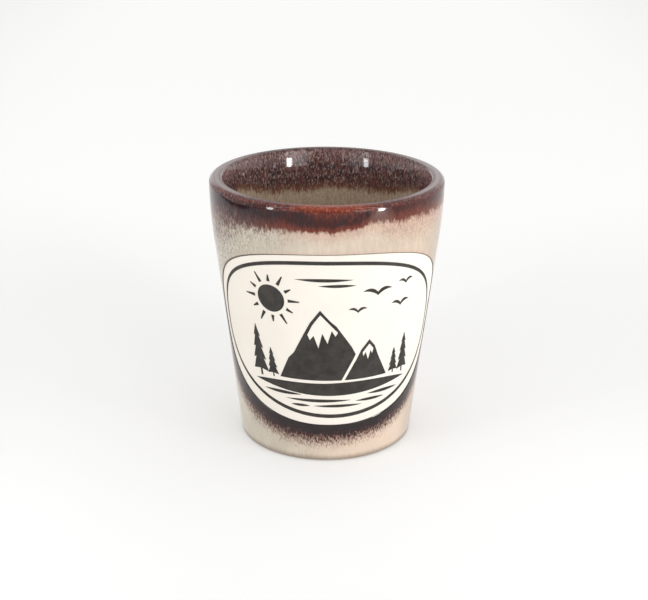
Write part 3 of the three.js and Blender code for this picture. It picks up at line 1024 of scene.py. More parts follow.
@dataclass(frozen=True)
class GlazeFinish:
    """Glossy glazes that run in fine streaks where the brown one breaks over the cream one."""

    name: str = "streaked_glaze"
    gloss: float = 0.07
    ior: float = 1.44
    hair_depth: float = 0.008 * MM
    right_side: tuple[float, float] = (-0.013, -0.002)
    # Painted shade: the left and right cream colours make the wall darker and greyer to the left and warmer to the
    # right.
    cream_shaded_left: Colour = linear(192, 183, 167)
    cream_front: Colour = linear(210, 194, 176)
    cream_shaded_right: Colour = linear(209, 188, 167)
    # Painted shade: darker cream at the wall's right edge.
    cream_shaded_edge: Colour = linear(180, 162, 146)
    # Painted light: lighter cream low on the right, as if lit from the floor.
    cream_lit_low: Colour = linear(228, 206, 186)
    # Darker heel: partly glaze gathering at the foot, partly painted contact shadow.
    heel: Colour = linear(118, 104, 90)
    blush: Colour = linear(196, 146, 126)
    thick: Colour = (0.042, 0.006, 0.004)
    slate: Colour = (0.020, 0.010, 0.014)
    glow: Colour = (0.15, 0.030, 0.018)
    ash: Colour = (0.20, 0.15, 0.13)
    thin: Colour = (0.095, 0.040, 0.035)
    rust: Colour = (0.155, 0.028, 0.013)
    pale_rust: Colour = (0.15, 0.072, 0.060)
    freckle: Colour = (0.13, 0.095, 0.085)
    lip_dark: Colour = (0.035, 0.010, 0.009)
    lip_red: Colour = (0.16, 0.038, 0.028)
    lip_dusk: Colour = (0.165, 0.085, 0.072)
    lip_mauve: Colour = (0.23, 0.155, 0.135)
    # Paler crown on the lip's sides: partly a thinner, paler glaze and partly painted sheen.
    lip_pale_sheen: Colour = linear(190, 180, 178)
    # Painted highlight colours for the front middle of the lip.
    lip_highlight: Colour = (0.22, 0.037, 0.018)
    lip_highlight_spark: Colour = (0.40, 0.11, 0.055)
    shade_dark: Colour = (0.016, 0.008, 0.009)
    shade_mid: Colour = (0.060, 0.012, 0.009)
    shade_rust: Colour = (0.15, 0.035, 0.024)
    panel_line: Colour = (0.035, 0.024, 0.018)
    liner: Colour = (0.54, 0.42, 0.31)
    liner_dark: Colour = (0.37, 0.285, 0.205)
    inner_dark: Colour = (0.042, 0.026, 0.029)
    inner_rust: Colour = (0.15, 0.058, 0.050)
    inner_fleck: Colour = (0.42, 0.34, 0.31)
    inner_rose: Colour = (0.26, 0.140, 0.130)
    drip_rust: Colour = (0.19, 0.070, 0.030)

    def cream(self, glaze: GlazePaint) -> Socket:
        """The cream glaze: faint hairs down it, painted shade and light by side, and a darker heel with painted
        contact shadow.

        Args:
            glaze: The material being made.

        Returns:
            Its colour.
        """
        # Painted shade: the cream is toned by side, darker and greyer to the left and a little darker and warmer to
        # the right.
        side = glaze.ramp(glaze.x, (
            (-0.025, self.cream_shaded_left), (-0.012, self.cream_shaded_left), (0.0, self.cream_front), (0.025, self.cream_shaded_right),
        ))
        tone = glaze.share((glaze.hair, 0.3, 0.7, 0.95, 1.04), (glaze.slow, 0.3, 0.7, 0.94, 1.04))
        colour = glaze.toned(side, tone)
        # Painted light: the low right of the wall is lighter, as if lit from the floor.
        colour = glaze.laid(colour, self.cream_lit_low, (glaze.z, 0.022, 0.004, 0.0, 0.75), (glaze.x, -0.006, 0.008, 0.1))
        # Painted shade: darker towards the right edge of the wall.
        colour = glaze.laid(colour, self.cream_shaded_edge, (glaze.turned, 17.0, 22.0, 0.0, 0.9))
        # Darker heel: partly glaze gathering at the foot, partly painted contact shadow.
        low = glaze.calc("ADD", glaze.z, glaze.calc("MULTIPLY", glaze.hair, 0.6 * MM))
        return glaze.laid(colour, self.heel, (low, 0.5 * MM, 2.2 * MM, 0.75, 0.0))

    def band(self, glaze: GlazePaint, ground: Socket) -> Socket:
        """The brown glaze outside: dark where it lies thick, rust red in its streaks and along its broken edge.

        Args:
            glaze: The material being made.
            ground: Colour of the glaze under it.

        Returns:
            The wall's colour.
        """
        x, soft, body, dash, speck = glaze.x, glaze.soft, glaze.body, glaze.dash, glaze.speck
        level = glaze.calc("DIVIDE", glaze.shaken(glaze.reach, glaze.drip, 0.8), soft)
        level = glaze.shaken(level, dash, glaze.rise(soft, 1.4, 3.2, 2.4, 4.4))
        level = glaze.shaken(level, speck, glaze.rise(soft, 0.8, 3.0, 0.6, 3.6))
        reach = glaze.shaken(glaze.reach, dash, 3.0)
        heavy = glaze.calc("MULTIPLY", glaze.rise(reach, 0.2, 2.6, 0.0, 0.9), body)
        heavy = glaze.calc("ADD", heavy, glaze.rise(body, 0.3, 1.0, 0.0, 0.7))
        heavy = glaze.calc("ADD", heavy, glaze.share((reach, 3.0, 7.5), (body, 0.3, 1.0, 1.0, 0.0)))

        mixed = glaze.calc("MULTIPLY_ADD", dash, 0.5, glaze.calc("MULTIPLY", glaze.drip, 0.5))
        patchy = glaze.rise(mixed, 0.42, 0.58, -0.6, 0.4)
        redder = glaze.calc("MULTIPLY_ADD", glaze.rise(x, *self.right_side), 0.8, patchy)
        thick = glaze.blend(redder, self.slate, self.thick)
        rusty = glaze.calc("MULTIPLY", body, glaze.rise(x, -0.018, -0.008))
        edge = glaze.blend(rusty, self.pale_rust, self.rust)
        lip = glaze.shaken(glaze.along, dash, 4.0)
        brown = glaze.ramp(heavy, ((0.0, self.ash), (0.4, self.thin), (0.8, self.thin)))
        brown = glaze.laid(brown, thick, (heavy, 0.4, 1.0))
        brown = glaze.laid(brown, edge, (glaze.hair, 0.5, 0.66, 0.0, 0.5), (heavy, 0.9, 1.6, 1.0, 0.3))
        brown = glaze.laid(
            brown, self.glow, (x, -0.005, -0.001), (x, 0.008, 0.004), (lip, -4.6, -2.6, 0.0, 0.9),
            (speck, 0.4, 0.58, 0.25),
        )
        brown = glaze.laid(brown, edge, (level, 0.3, 2.4, 1.0, 0.0), (x, -0.018, -0.004, 0.6, 0.92))

        ground = glaze.laid(ground, self.blush, (level, -4.0, -0.4, 0.0, 0.45), (x, *self.right_side))
        ground = glaze.laid(
            ground, self.freckle, (speck, 0.45, 0.6, 0.0, 0.6), (level, -5.5, -0.5), (soft, 0.8, 2.6, 0.3),
        )
        low, high = glaze.rise(soft, 1.2, 2.4, -0.7, -1.6), glaze.rise(soft, 1.2, 2.4, 0.5, 1.4)
        return glaze.laid(ground, brown, (level, low, high))

    def shade(self, glaze: GlazePaint, ground: Socket) -> Socket:
        """The brown shade round the panel, and the dark line where the glaze rolls down to it.

        Args:
            glaze: The material being made.
            ground: Colour of the glaze under it.

        Returns:
            The wall's colour.
        """
        fleck = glaze.drawn_out(0.5, 2.9, 0.6)
        deep = glaze.shaken(glaze.shaken(glaze.halo, fleck, 1.3), glaze.hair, 0.3)
        colour = glaze.ramp(deep, ((0.3, self.shade_rust), (0.72, self.shade_mid), (1.0, self.shade_dark)))
        wall = glaze.laid(ground, colour, (deep, 0.02, 0.86))
        way = glaze.shaken(glaze.panel_way, glaze.hair, 0.5)
        wall = glaze.laid(wall, self.blush, (way, 0.1, 1.1, 0.25, 0.0), (glaze.z, 0.036, 0.046))
        width = glaze.rise(glaze.x, -0.022, 0.0, 0.42, 0.24)
        start = glaze.calc("MULTIPLY", width, 0.6)
        return glaze.laid(wall, self.panel_line, (glaze.panel_way, start, width, 0.9, 0.0))

    def lip(self, glaze: GlazePaint) -> Socket:
        """The brown glaze on the lip: dark with red specks, with a painted red and salmon highlight in the middle of
        the front.

        Args:
            glaze: The material being made.

        Returns:
            The lip's colour.
        """
        speck = glaze.speck
        red = glaze.laid(self.lip_red, self.lip_dusk, (glaze.y, -0.012, 0.006))
        lip = glaze.laid(self.lip_dark, red, (speck, 0.4, 0.6))
        lip = glaze.laid(lip, self.lip_mauve, (speck, 0.6, 0.72))
        # Painted highlight: red and salmon across the front middle of the lip's outer round.
        front_highlight = glaze.laid(self.lip_highlight, self.lip_highlight_spark, (speck, 0.5, 0.68))
        aside = glaze.calc("ABSOLUTE", glaze.calc("SUBTRACT", glaze.x, 0.001))
        lip = glaze.laid(lip, front_highlight, (aside, 0.011, 0.004), (glaze.y, -0.02, -0.023))
        # Paler crown on the sides: partly a thinner, paler glaze and partly painted sheen.
        off = glaze.calc("ABSOLUTE", glaze.calc("SUBTRACT", glaze.along, 0.15))
        turned = glaze.calc("ABSOLUTE", glaze.turned)
        return glaze.laid(lip, self.lip_pale_sheen, (turned, 12.0, 20.0, 0.0, 0.4), (off, 1.0, 0.2))

    def inside(self, glaze: GlazePaint) -> Socket:
        """The inside: brown with rust and olive flecks above, breaking in drips over the streaky lining below.

        Args:
            glaze: The material being made.

        Returns:
            The inside's colour.
        """
        fleck, speck = glaze.drawn_out(0.4, 3.3, 0.6), glaze.speck
        depth = glaze.shaken(glaze.shaken(glaze.reach, glaze.drip, 1.6), glaze.dash, 3.6)
        mixed = glaze.calc("MULTIPLY_ADD", glaze.hair, 0.35, glaze.calc("MULTIPLY", speck, 0.65))
        lining = glaze.laid(self.liner_dark, self.liner, (mixed, 0.38, 0.62))
        lip = glaze.shaken(glaze.along, glaze.drip, 2.0)
        brown = glaze.laid(self.inner_dark, self.inner_rust, (glaze.dash, 0.38, 0.64))
        brown = glaze.laid(brown, self.inner_rose, (lip, 4.0, 1.6), (speck, 0.42, 0.58))
        brown = glaze.laid(brown, self.inner_fleck, (fleck, 0.51, 0.69, 0.0, 0.85))
        brown = glaze.laid(brown, self.drip_rust, (depth, 0.2, 2.0, 0.8, 0.0), (speck, 0.36, 0.56, 0.15))
        return glaze.laid(lining, brown, (depth, -1.0, 0.8))

    def material(self) -> bpy.types.Material:
        """Makes the material.

        Returns:
            The material, for all four glazes.
        """
        glaze = GlazePaint(self.name)
        wall, lip = self.shade(glaze, self.band(glaze, self.cream(glaze))), self.lip(glaze)
        way = glaze.shaken(glaze.along, glaze.speck, 2.0)
        wall = glaze.laid(wall, lip, (way, -2.7, -1.3))
        well = glaze.laid(lip, self.inside(glaze), (way, 0.6, 1.8))
        glaze.set(base_color=glaze.laid(wall, well, (glaze.within, 0.2, 0.8)), roughness=self.gloss, ior=self.ior)
        glaze.relief(glaze.hair, self.hair_depth, 0.5)
        return glaze.material


@dataclass(frozen=True)
class ClayFinish:
    """Bare fired clay with a fine grain and dark iron specks."""

    name: str = "bare_clay_grain"
    light: Colour = linear(214, 196, 170)
    dark: Colour = linear(188, 166, 138)
    speck: Colour = linear(112, 84, 62)
    roughness: float = 0.85
    grain_depth: float = 0.03 * MM

    def material(self) -> bpy.types.Material:
        """Makes the material.

        Returns:
            The material.
        """
        paint = Paint(self.name)
        place = paint.place()
        grain, iron = paint.noise(place, 3200, 3.0, 0.6), paint.noise(place, 1100, 1.0, 0.4)
        body = paint.blend(grain, self.dark, self.light)
        paint.set(base_color=paint.laid(body, self.speck, (iron, 0.68, 0.74)), roughness=self.roughness)
        paint.relief(grain, self.grain_depth)
        return paint.material


@dataclass(frozen=True)
class IvoryFinish:
    """Matte ivory slip with a very fine tooth, slow warm clouds, and painted shade that darkens it to the left."""

    name: str = "ivory_slip_matte"
    # Painted shade and light: the left, middle and right colours tone the panel by side.
    left: Colour = linear(232, 225, 215)
    middle: Colour = linear(243, 236, 226)
    right: Colour = linear(246, 241, 230)
    dark: Colour = linear(226, 216, 204)
    roughness: float = 0.62
    tooth_depth: float = 0.008 * MM

    def material(self) -> bpy.types.Material:
        """Makes the material.

        Returns:
            The material.
        """
        paint = Paint(self.name)
        place = paint.place()
        cloud, tooth = paint.noise(place, 90, 3.0, 0.55), paint.noise(place, 2600, 2.0, 0.6)
        # Painted shade: the panel is darker to the left and lighter to the right.
        colour = paint.ramp(paint.split(place)[0], ((-0.022, self.left), (0.0, self.middle), (0.022, self.right)))
        worn = paint.calc("ADD", paint.rise(cloud, 0.35, 0.75, 0.0, 0.25), paint.rise(tooth, 0.3, 0.7, 0.0, 0.1))
        paint.set(base_color=paint.blend(worn, colour, self.dark), roughness=self.roughness)
        paint.relief(tooth, self.tooth_depth)
        return paint.material


@dataclass(frozen=True)
class InkFinish:
    """Fired charcoal ink, a little uneven, as a transfer is."""

    name: str = "charcoal_ink_fired"
    dark: Colour = linear(46, 43, 40)
    light: Colour = linear(62, 58, 54)
    roughness: tuple[float, float] = (0.5, 0.66)
    shine: float = 0.25
    tooth_depth: float = 0.006 * MM

    def material(self) -> bpy.types.Material:
        """Makes the material.

        Returns:
            The material.
        """
        paint = Paint(self.name)
        place = paint.place()
        cloud, tooth = paint.noise(place, 420, 3.0, 0.6), paint.noise(place, 3000, 2.0, 0.6)
        paint.set(
            base_color=paint.laid(self.dark, self.light, (cloud, 0.3, 0.7)),
            roughness=paint.rise(tooth, 0.3, 0.7, *self.roughness), specular_ior_level=self.shine,
        )
        paint.relief(tooth, self.tooth_depth)
        return paint.material


# Sub-assemblies


@dataclass
class ClayBody:
    """The clay cup under the glazes, bare on its foot ring and in the recess under it."""

    form: CupForm
    finish: ClayFinish = ClayFinish()
    heel_size: float = 0.3 * MM
    heel_inset: float = 0.12 * MM
    ring_inset: float = 1.5 * MM
    ring_round: float = 0.1 * MM
    ring_lift: float = 0.08 * MM
    recess_rings: tuple[float, ...] = (0, 5 * MM, 10 * MM)
    wall_spans: tuple[tuple[float, float, int], ...] = ((0.5, 45, 24), (46, 57.3, 12))
    inside_top: float = 57
    inside_rows: int = 30
    round_steps: int = 8
    heel_steps: int = 6
    corner_steps: int = 12
    columns: int = 216

    def path(self) -> Array:
        """The closed profile, from the recess's middle out, up, over the lip and down to the floor's middle.

        Returns:
            Rows of radius and height.
        """
        form, sink, size = self.form, self.form.glaze, self.heel_size
        ring = form.foot_radius - form.foot_ring_width
        foot = np.array([
            *([radius, form.foot_recess] for radius in (*self.recess_rings, ring - form.foot_recess_slope)),
            [ring - self.ring_round, self.ring_lift], [ring + self.ring_round, 0],
            [form.foot_radius - self.ring_inset, 0],
        ])
        heights = np.concatenate([np.linspace(*span) for span in self.wall_spans]) * MM
        well_top = form.floor_thickness / MM + form.well_round / MM
        down = np.linspace(self.inside_top, well_top, self.inside_rows)[:-1] * MM
        quarter, tilt = math.pi / 2, math.radians(form.throat_tilts[0])
        heel = arc(form.foot_radius - self.heel_inset, size, size, np.linspace(-quarter, 0, self.heel_steps + 1))
        over = np.linspace(0, quarter, self.round_steps + 1)[1:]
        outer = arc(form.outer_centre, form.lip_height, form.lip_outer_round - sink, over)
        into = np.linspace(quarter, math.pi - tilt, self.round_steps + 1)
        inner = arc(form.inner_centre, form.inner_base, form.lip_inner_round - sink, into)
        wall = np.stack([form.outer_radius(heights) - sink, heights], -1)
        inside = np.stack([form.inner_radius(down) + sink, down], -1)
        well, away = form.well(self.corner_steps)
        return np.concatenate([foot, heel, wall, outer, inner, inside, well + sink * away])

    def build(self) -> bpy.types.Object:
        """Turns the profile round the axis.

        Returns:
            The piece.
        """
        return MeshDraft.finished("clay_body", *turned(self.path(), self.columns))

    def dress(self) -> None:
        """Builds the body and gives it its finish."""
        install(self.build(), "stoneware_body", Slot.CLAY, self.finish.material())


@dataclass
class Glazes:
    """The four glazes: over the lip, outside, the shade under the panel, and inside."""

    layout: Layout
    finish: GlazeFinish = GlazeFinish()
    heel_levels: tuple[float, ...] = (0.25, 0.3, 0.36, 0.43, 0.5, 0.62, 0.8, 1.1)
    roll_steps: int = 6
    roll_depth: float = 1.3
    below_rows: int = 24
    above_rows: int = 26
    shade_rows: int = 8
    rim_rows: int = 14
    outer_steps: int = 16
    inner_steps: int = 12
    crown_steps: int = 16
    throat_rows: int = 30
    lining_rows: int = 48
    corner_steps: int = 16

    def rolled(self, badge_curve: str, across: Array, share: Array) -> tuple[Array, Array]:
        """The strip where the glaze rolls down to the panel.

        With w the share of the strip from the panel (0) to the full glaze (1), the outline is grown by w roll, and
        the surface lies (1 - sqrt(1 - (1 - w)^2)) 1.3 sink deep, a quarter round.

        Args:
            badge_curve: Which curve of the outline it follows, upper or lower.
            across: Places across the window.
            share: Shares of the strip, as a column.

        Returns:
            Front and back grids.
        """
        layout, form = self.layout, self.layout.form
        radius = form.radius_at(layout.panel.top)
        badges = [layout.panel.grown(layout.edge_roll * w, radius) for w in share[:, 0].tolist()]
        z = np.stack([getattr(badge, badge_curve)(across) for badge in badges])
        azimuth = np.stack([badge.azimuth(across) for badge in badges])
        return form.layer(azimuth, z, (1 - np.sqrt(1 - (1 - share) ** 2)) * self.roll_depth * layout.panel_sink)

    def between(self, azimuth: Array, low: Array | float, high: Array | float, steps: int) -> tuple[Array, Array]:
        """A stretch of wall between two heights, z = low + (high - low) share.

        Args:
            azimuth: Azimuth of each column.
            low: Lower height of each column.
            high: Upper height of each column.
            steps: Steps on the way up.

        Returns:
            Front and back grids.
        """
        z = low + (high - low) * shares(steps)
        return self.layout.form.layer(azimuth, z)

    def outside(self) -> bpy.types.Object:
        """The cream glaze: columns below the shade, columns above the window with the rolled edge, and the back.

        Returns:
            The piece.
        """
        layout, form, draft = self.layout, self.layout.form, MeshDraft()
        across, back = layout.across(), layout.back_azimuths()
        front, widest = layout.window.azimuth(across), layout.window.widest
        heel = np.array(self.heel_levels)[:, None] * MM
        for azimuth, low_top, high_low in (
            (front, layout.shade_bottom(across), layout.window.upper(across)), (back, widest, widest),
        ):
            draft.add_grid(*form.layer(azimuth, heel))
            draft.add_grid(*self.between(azimuth, heel[-1], low_top, self.below_rows))
            draft.add_grid(*self.between(azimuth, high_low, layout.rim_edge(azimuth), self.above_rows))
        draft.add_grid(*self.rolled("upper", across, shares(self.roll_steps)))
        return draft.solid("cream_glaze_outside")

    def shade(self) -> bpy.types.Object:
        """The brown shade: from its lower edge up to the window's lower curve, and the rolled edge.

        Returns:
            The piece.
        """
        layout, draft, across = self.layout, MeshDraft(), self.layout.across()
        low, high = layout.shade_bottom(across), layout.window.lower(across)
        draft.add_grid(*self.between(layout.window.azimuth(across), low, high, self.shade_rows))
        draft.add_grid(*self.rolled("lower", across, np.linspace(1, 0, self.roll_steps + 1)[:, None]))
        return draft.solid("brown_shade_under_panel")

    def rim(self) -> bpy.types.Object:
        """The brown glaze over the lip: up the outside, round the lip and down the throat.

        On the lip's rounds p = centre + R (cos t, sin t), and the back lies along the same direction.

        Returns:
            The piece.
        """
        layout, form, draft = self.layout, self.layout.form, MeshDraft()
        azimuth, quarter = layout.all_azimuths(), math.pi / 2
        draft.add_grid(*self.between(azimuth, layout.rim_edge(azimuth), form.lip_height, self.rim_rows))
        tilt = math.radians(form.throat_tilts[0])
        out, into = np.radians(form.crown_tilts)
        outer = np.linspace(0, quarter - out, self.outer_steps + 1)
        inner = np.linspace(quarter + into, math.pi - tilt, self.inner_steps + 1)
        for centre_r, centre_z, size, turns in (
            (form.outer_centre, form.lip_height, form.lip_outer_round, outer[:, None]),
            (form.inner_centre, form.inner_base, form.lip_inner_round, inner[:, None]),
        ):
            draft.add_grid(*(
                form.place(azimuth, centre_r + part * np.cos(turns), form.pressed(centre_z + part * np.sin(turns)))
                for part in (size, size - form.glaze)
            ))
        crown = form.crown(self.crown_steps)
        radius, high = crown[:, :1], form.pressed(crown[:, 1:])
        draft.add_grid(form.place(azimuth, radius, high), form.place(azimuth, radius, high - form.glaze))
        top_z, back_round = form.throat()[0], form.lip_inner_round - form.glaze
        z = top_z + (layout.inner_edge(azimuth) - top_z) * shares(self.throat_rows)
        behind = np.minimum(z, form.inner_base + back_round * math.sin(tilt))
        back = form.inner_radius(behind) + form.glaze
        back[0] = form.inner_centre - back_round * math.cos(tilt)
        draft.add_grid(form.place(azimuth, form.inner_radius(z), z), form.place(azimuth, back, behind))
        return draft.solid("brown_glaze_over_lip")

    def lining(self) -> bpy.types.Object:
        """The inside glaze: down the wall, round the well's corner and over the floor to its middle.

        Returns:
            The piece.
        """
        layout, form, draft = self.layout, self.layout.form, MeshDraft()
        azimuth = layout.all_azimuths()
        path, away = form.well(self.corner_steps)
        edge, deep = layout.inner_edge(azimuth), path + form.glaze * away
        z = edge + (path[0, 1] - edge) * shares(self.lining_rows)
        draft.add_grid(*(form.place(azimuth, form.inner_radius(z) + depth, z) for depth in (0, form.glaze)))
        draft.add_grid(*(form.place(azimuth, line[:, :1], line[:, 1:]) for line in (path, deep)))
        return draft.solid("cream_glaze_inside")

    def dress(self) -> None:
        """Builds the glazes and gives them their common finish."""
        material, numbers = self.finish.material(), GlazeMap(self.layout)
        for piece, node, slot in (
            (self.rim(), "rim_brown_glaze", Slot.BROWN),
            (self.outside(), "outside_cream_glaze", Slot.CREAM),
            (self.shade(), "under_panel_brown_glaze", Slot.BROWN),
            (self.lining(), "inside_cream_glaze", Slot.LINER),
        ):
            numbers.write(piece)
            install(piece, node, slot, material)


@dataclass
class Panel:
    """The ivory panel in the window, and the border line printed on it."""

    layout: Layout
    ivory: IvoryFinish = IvoryFinish()
    rows: int = 60
    border_rows: int = 3

    def build(self) -> bpy.types.Object:
        """The panel: z = lower + (upper - lower) share, a little below the glaze round it.

        Returns:
            The piece.
        """
        panel, draft, across = self.layout.panel, MeshDraft(), self.layout.across()
        share = (1 - np.cos(np.linspace(0, np.pi, self.rows + 1)))[:, None] / 2
        z = panel.lower(across) + (panel.upper(across) - panel.lower(across)) * share
        azimuth = np.broadcast_to(panel.azimuth(across), z.shape)
        draft.add_grid(*self.layout.form.layer(azimuth, z, self.layout.panel_sink))
        return draft.solid("ivory_slip_panel")

    def border(self) -> bpy.types.Object:
        """The border line: each row lies a share of the way from its inner to its outer outline.

        Returns:
            The piece.
        """
        layout, draft, outer = self.layout, MeshDraft(), self.layout.border
        inner = replace(
            outer, half_angle=outer.half_angle - layout.border_side_angle,
            bottom=outer.bottom + layout.border_bottom_width, top=outer.top - layout.border_top_width,
        )
        across, share = layout.across(), shares(self.border_rows)
        half = inner.half_angle + (outer.half_angle - inner.half_angle) * share
        for curve in ("upper", "lower"):
            near, far = getattr(inner, curve)(across), getattr(outer, curve)(across)
            z = near + (far - near) * share
            azimuth = across * half + layout.print_azimuth(z)
            draft.add_grid(*layout.form.layer(azimuth, z, layout.ink_depth, layout.panel_sink))
        return draft.solid("border_stripe")

    def dress(self, ink: bpy.types.Material) -> None:
        """Builds the panel and its border line and gives them their finishes.

        Args:
            ink: The ink's material.
        """
        install(self.build(), "ivory_panel", Slot.IVORY, self.ivory.material())
        install(self.border(), "border_line", Slot.INK, ink)


Outline = list[Array]


@dataclass
class Picture:
    """The lake picture: flat patches of ink, drawn in shares of the border's half width and height."""

    layout: Layout
    spacing: float = 0.7 * MM
    curve_steps: int = 24
    least_gap: float = 0.45
    nearness: float = 1e-5
    sun_sides: int = 72
    shore_start: tuple[float, float] = (-0.67, 0.2)
    shore: Rows = (
        (-0.35, 0.165, -0.2, 0.145, 0.05, 0.15), (0.3, 0.155, 0.45, 0.18, 0.67, 0.195),
        (0.5, 0.235, 0.25, 0.24, 0, 0.232), (-0.2, 0.225, -0.45, 0.24, -0.67, 0.2),
    )
    tall_peak: Table = (
        (-0.42, 0.25), (0.075, 0.25), (0.165, 0.375), (0.19, 0.415), (0.16, 0.465), (0.05, 0.6), (0.01, 0.63),
        (-0.06, 0.7), (-0.14, 0.62), (-0.28, 0.425), (-0.33, 0.385),
    )
    tall_snow: Table = (
        (-0.06, 0.672), (-0.003, 0.618), (0.06, 0.56), (0.04, 0.535), (0.015, 0.572), (-0.02, 0.49),
        (-0.055, 0.555), (-0.09, 0.46), (-0.12, 0.54), (-0.15, 0.51), (-0.165, 0.545), (-0.125, 0.605),
    )
    low_peak: Table = (
        (0.1, 0.25), (0.46, 0.25), (0.375, 0.39), (0.345, 0.455), (0.3, 0.5), (0.235, 0.44), (0.2, 0.385),
    )
    low_snow: Table = (
        (0.3, 0.472), (0.335, 0.438), (0.325, 0.405), (0.31, 0.428), (0.29, 0.37), (0.27, 0.42), (0.252, 0.395),
        (0.245, 0.42),
    )
    sun_at: tuple[float, float] = (-0.42, 0.745)
    sun_radius: float = 0.094
    ray_start: float = 0.118
    ray_ends: tuple[float, float] = (0.191, 0.164)
    ray_half_width: float = 0.0115
    ray_tip: float = 0.33
    ray_count: int = 12
    conifer_side: Table = (
        (0.12, 0), (0.12, 0.13), (1, 0.1), (0.5, 0.34), (0.8, 0.32), (0.36, 0.56), (0.6, 0.54), (0.22, 0.78),
        (0.4, 0.76),
    )
    conifers: Rows = (
        (-0.6, 0.228, 0.078, 0.33), (-0.48, 0.24, 0.05, 0.19), (0.53, 0.24, 0.048, 0.17), (0.635, 0.225, 0.062, 0.26),
    )
    gull_start: tuple[float, float] = (-1, 0.4)
    gull: Rows = (
        (-0.4, 0.5, 0, -0.5), (0.4, 0.5, 1, 0.4), (0.4, 1.4, 0, 0.1), (-0.4, 1.4, -1, 0.4),
    )
    gulls: Rows = (
        (0.36, 0.79, 0.115, 0.036), (0.56, 0.69, 0.085, 0.03), (0.21, 0.69, 0.07, 0.026), (0.6, 0.82, 0.07, 0.026),
    )
    stroke_start: tuple[float, float] = (-1, 0)
    stroke: Rows = ((0, -1, 1, 0), (0, 1, -1, 0))
    ripples: Rows = (
        (-0.42, 0.15, 0.17, 0.02), (0.44, 0.143, 0.15, 0.02), (-0.12, 0.115, 0.27, 0.02), (0.32, 0.105, 0.13, 0.018),
        (0.04, 0.08, 0.2, 0.018), (-0.27, 0.08, 0.08, 0.016),
    )
    clouds: Rows = ((-0.02, 0.885, 0.2, 0.02), (0.07, 0.85, 0.13, 0.018))

    @property
    def height(self) -> float:
        """Height of the picture."""
        return self.layout.border.top - self.layout.border.bottom

    @property
    def half_width(self) -> float:
        """Half the picture's width, round the wall."""
        border = self.layout.border
        return math.radians(border.half_angle) * self.layout.form.radius_at(border.bottom + self.height / 2)

    def curved(self, start: Sequence[float], curves: Sequence[Sequence[float]]) -> Array:
        """Points along joined curves: (1-t)^2 p + 2t(1-t) c + t^2 q, or the cubic with two controls.

        Args:
            start: The first point.
            curves: For each curve its control points and its end, in pairs.

        Returns:
            Points of the closed outline, as rows of two.
        """
        t = shares(self.curve_steps)[:-1]
        points, at = [], np.array(start, float)
        for curve in curves:
            *controls, end = np.array(curve, float).reshape(-1, 2)
            if len(controls) == 1:
                points.append((1 - t) ** 2 * at + 2 * t * (1 - t) * controls[0] + t**2 * end)
            else:
                one, two = controls
                points.append((1 - t) ** 3 * at + 3 * t * (1 - t) ** 2 * one + 3 * t**2 * (1 - t) * two + t**3 * end)
            at = end
        return np.concatenate(points)

    def placed(self, outline: Array, place: Sequence[float]) -> Array:
        """A unit outline moved to (x, y) and scaled by its half width and height: p = (x, y) + (w u, h v)."""
        x, y, half_width, tall = place
        return outline * np.array([half_width, tall]) + np.array([x, y])

    def round_mean(self) -> Array:
        """Scale that keeps a round shape round: the mean of half width and height, as a share of each."""
        mean = math.sqrt(self.height * self.half_width)
        return np.array([mean / self.half_width, mean / self.height])

    def sun_parts(self) -> dict[str, Outline]:
        """The sun's disc, (cos t, sin t) times its radius, and its tapered rays.

        Returns:
            Outlines by node name.
        """
        scale, centre = self.round_mean(), np.array(self.sun_at)
        turn = np.linspace(0, 2 * np.pi, self.sun_sides + 1)[:-1]
        parts = {"sun_disc": [centre + self.sun_radius * np.stack([np.cos(turn), np.sin(turn)], -1) * scale]}
        near, far = self.ray_half_width, self.ray_half_width * self.ray_tip
        for i in range(self.ray_count):
            a, end = 2 * math.pi * i / self.ray_count, self.ray_ends[i % len(self.ray_ends)]
            ray = np.array([[self.ray_start, -near], [end, -far], [end, far], [self.ray_start, near]])
            axes = np.array([[math.cos(a), math.sin(a)], [-math.sin(a), math.cos(a)]])
            parts[f"sun_ray_{i + 1}"] = [centre + (ray[:, :1] * axes[0] + ray[:, 1:] * axes[1]) * scale]
        return parts

    def patches(self) -> dict[str, Outline]:
        """Every patch of ink.

        Returns:
            By node name its outline, and the outlines of the holes in it.
        """
        side = np.array(self.conifer_side)
        conifer = np.concatenate([side, [[0, 1]], (side * [-1, 1])[::-1]])
        gull = self.curved(self.gull_start, self.gull)
        stroke = self.curved(self.stroke_start, self.stroke)
        parts = {
            "lake_shore": [self.curved(self.shore_start, self.shore)],
            "tall_peak": [np.array(self.tall_peak), np.array(self.tall_snow)],
            "low_peak": [np.array(self.low_peak), np.array(self.low_snow)],
            **self.sun_parts(),
        }
        for stem, outline, places in (
            ("conifer", conifer, self.conifers), ("gull", gull, self.gulls),
            ("ripple", stroke, self.ripples), ("cloud", stroke, self.clouds),
        ):
            parts.update({f"{stem}_{i + 1}": [self.placed(outline, place)] for i, place in enumerate(places)})
        return parts

    def refined(self, outline: Array) -> Array:
        """Adds points along the straight edges, about one for each spacing.

        Args:
            outline: A closed outline in metres.

        Returns:
            The same outline with more points.
        """
        ends = np.roll(outline, -1, 0)
        counts = np.maximum(1, np.ceil(np.linalg.norm(ends - outline, axis=1) / self.spacing)).astype(int)
        start, end = np.repeat(outline, counts, 0), np.repeat(ends, counts, 0)
        step = np.arange(counts.sum()) - np.repeat(np.cumsum(counts) - counts, counts)
        return start + (end - start) * (step / np.repeat(counts, counts))[:, None]

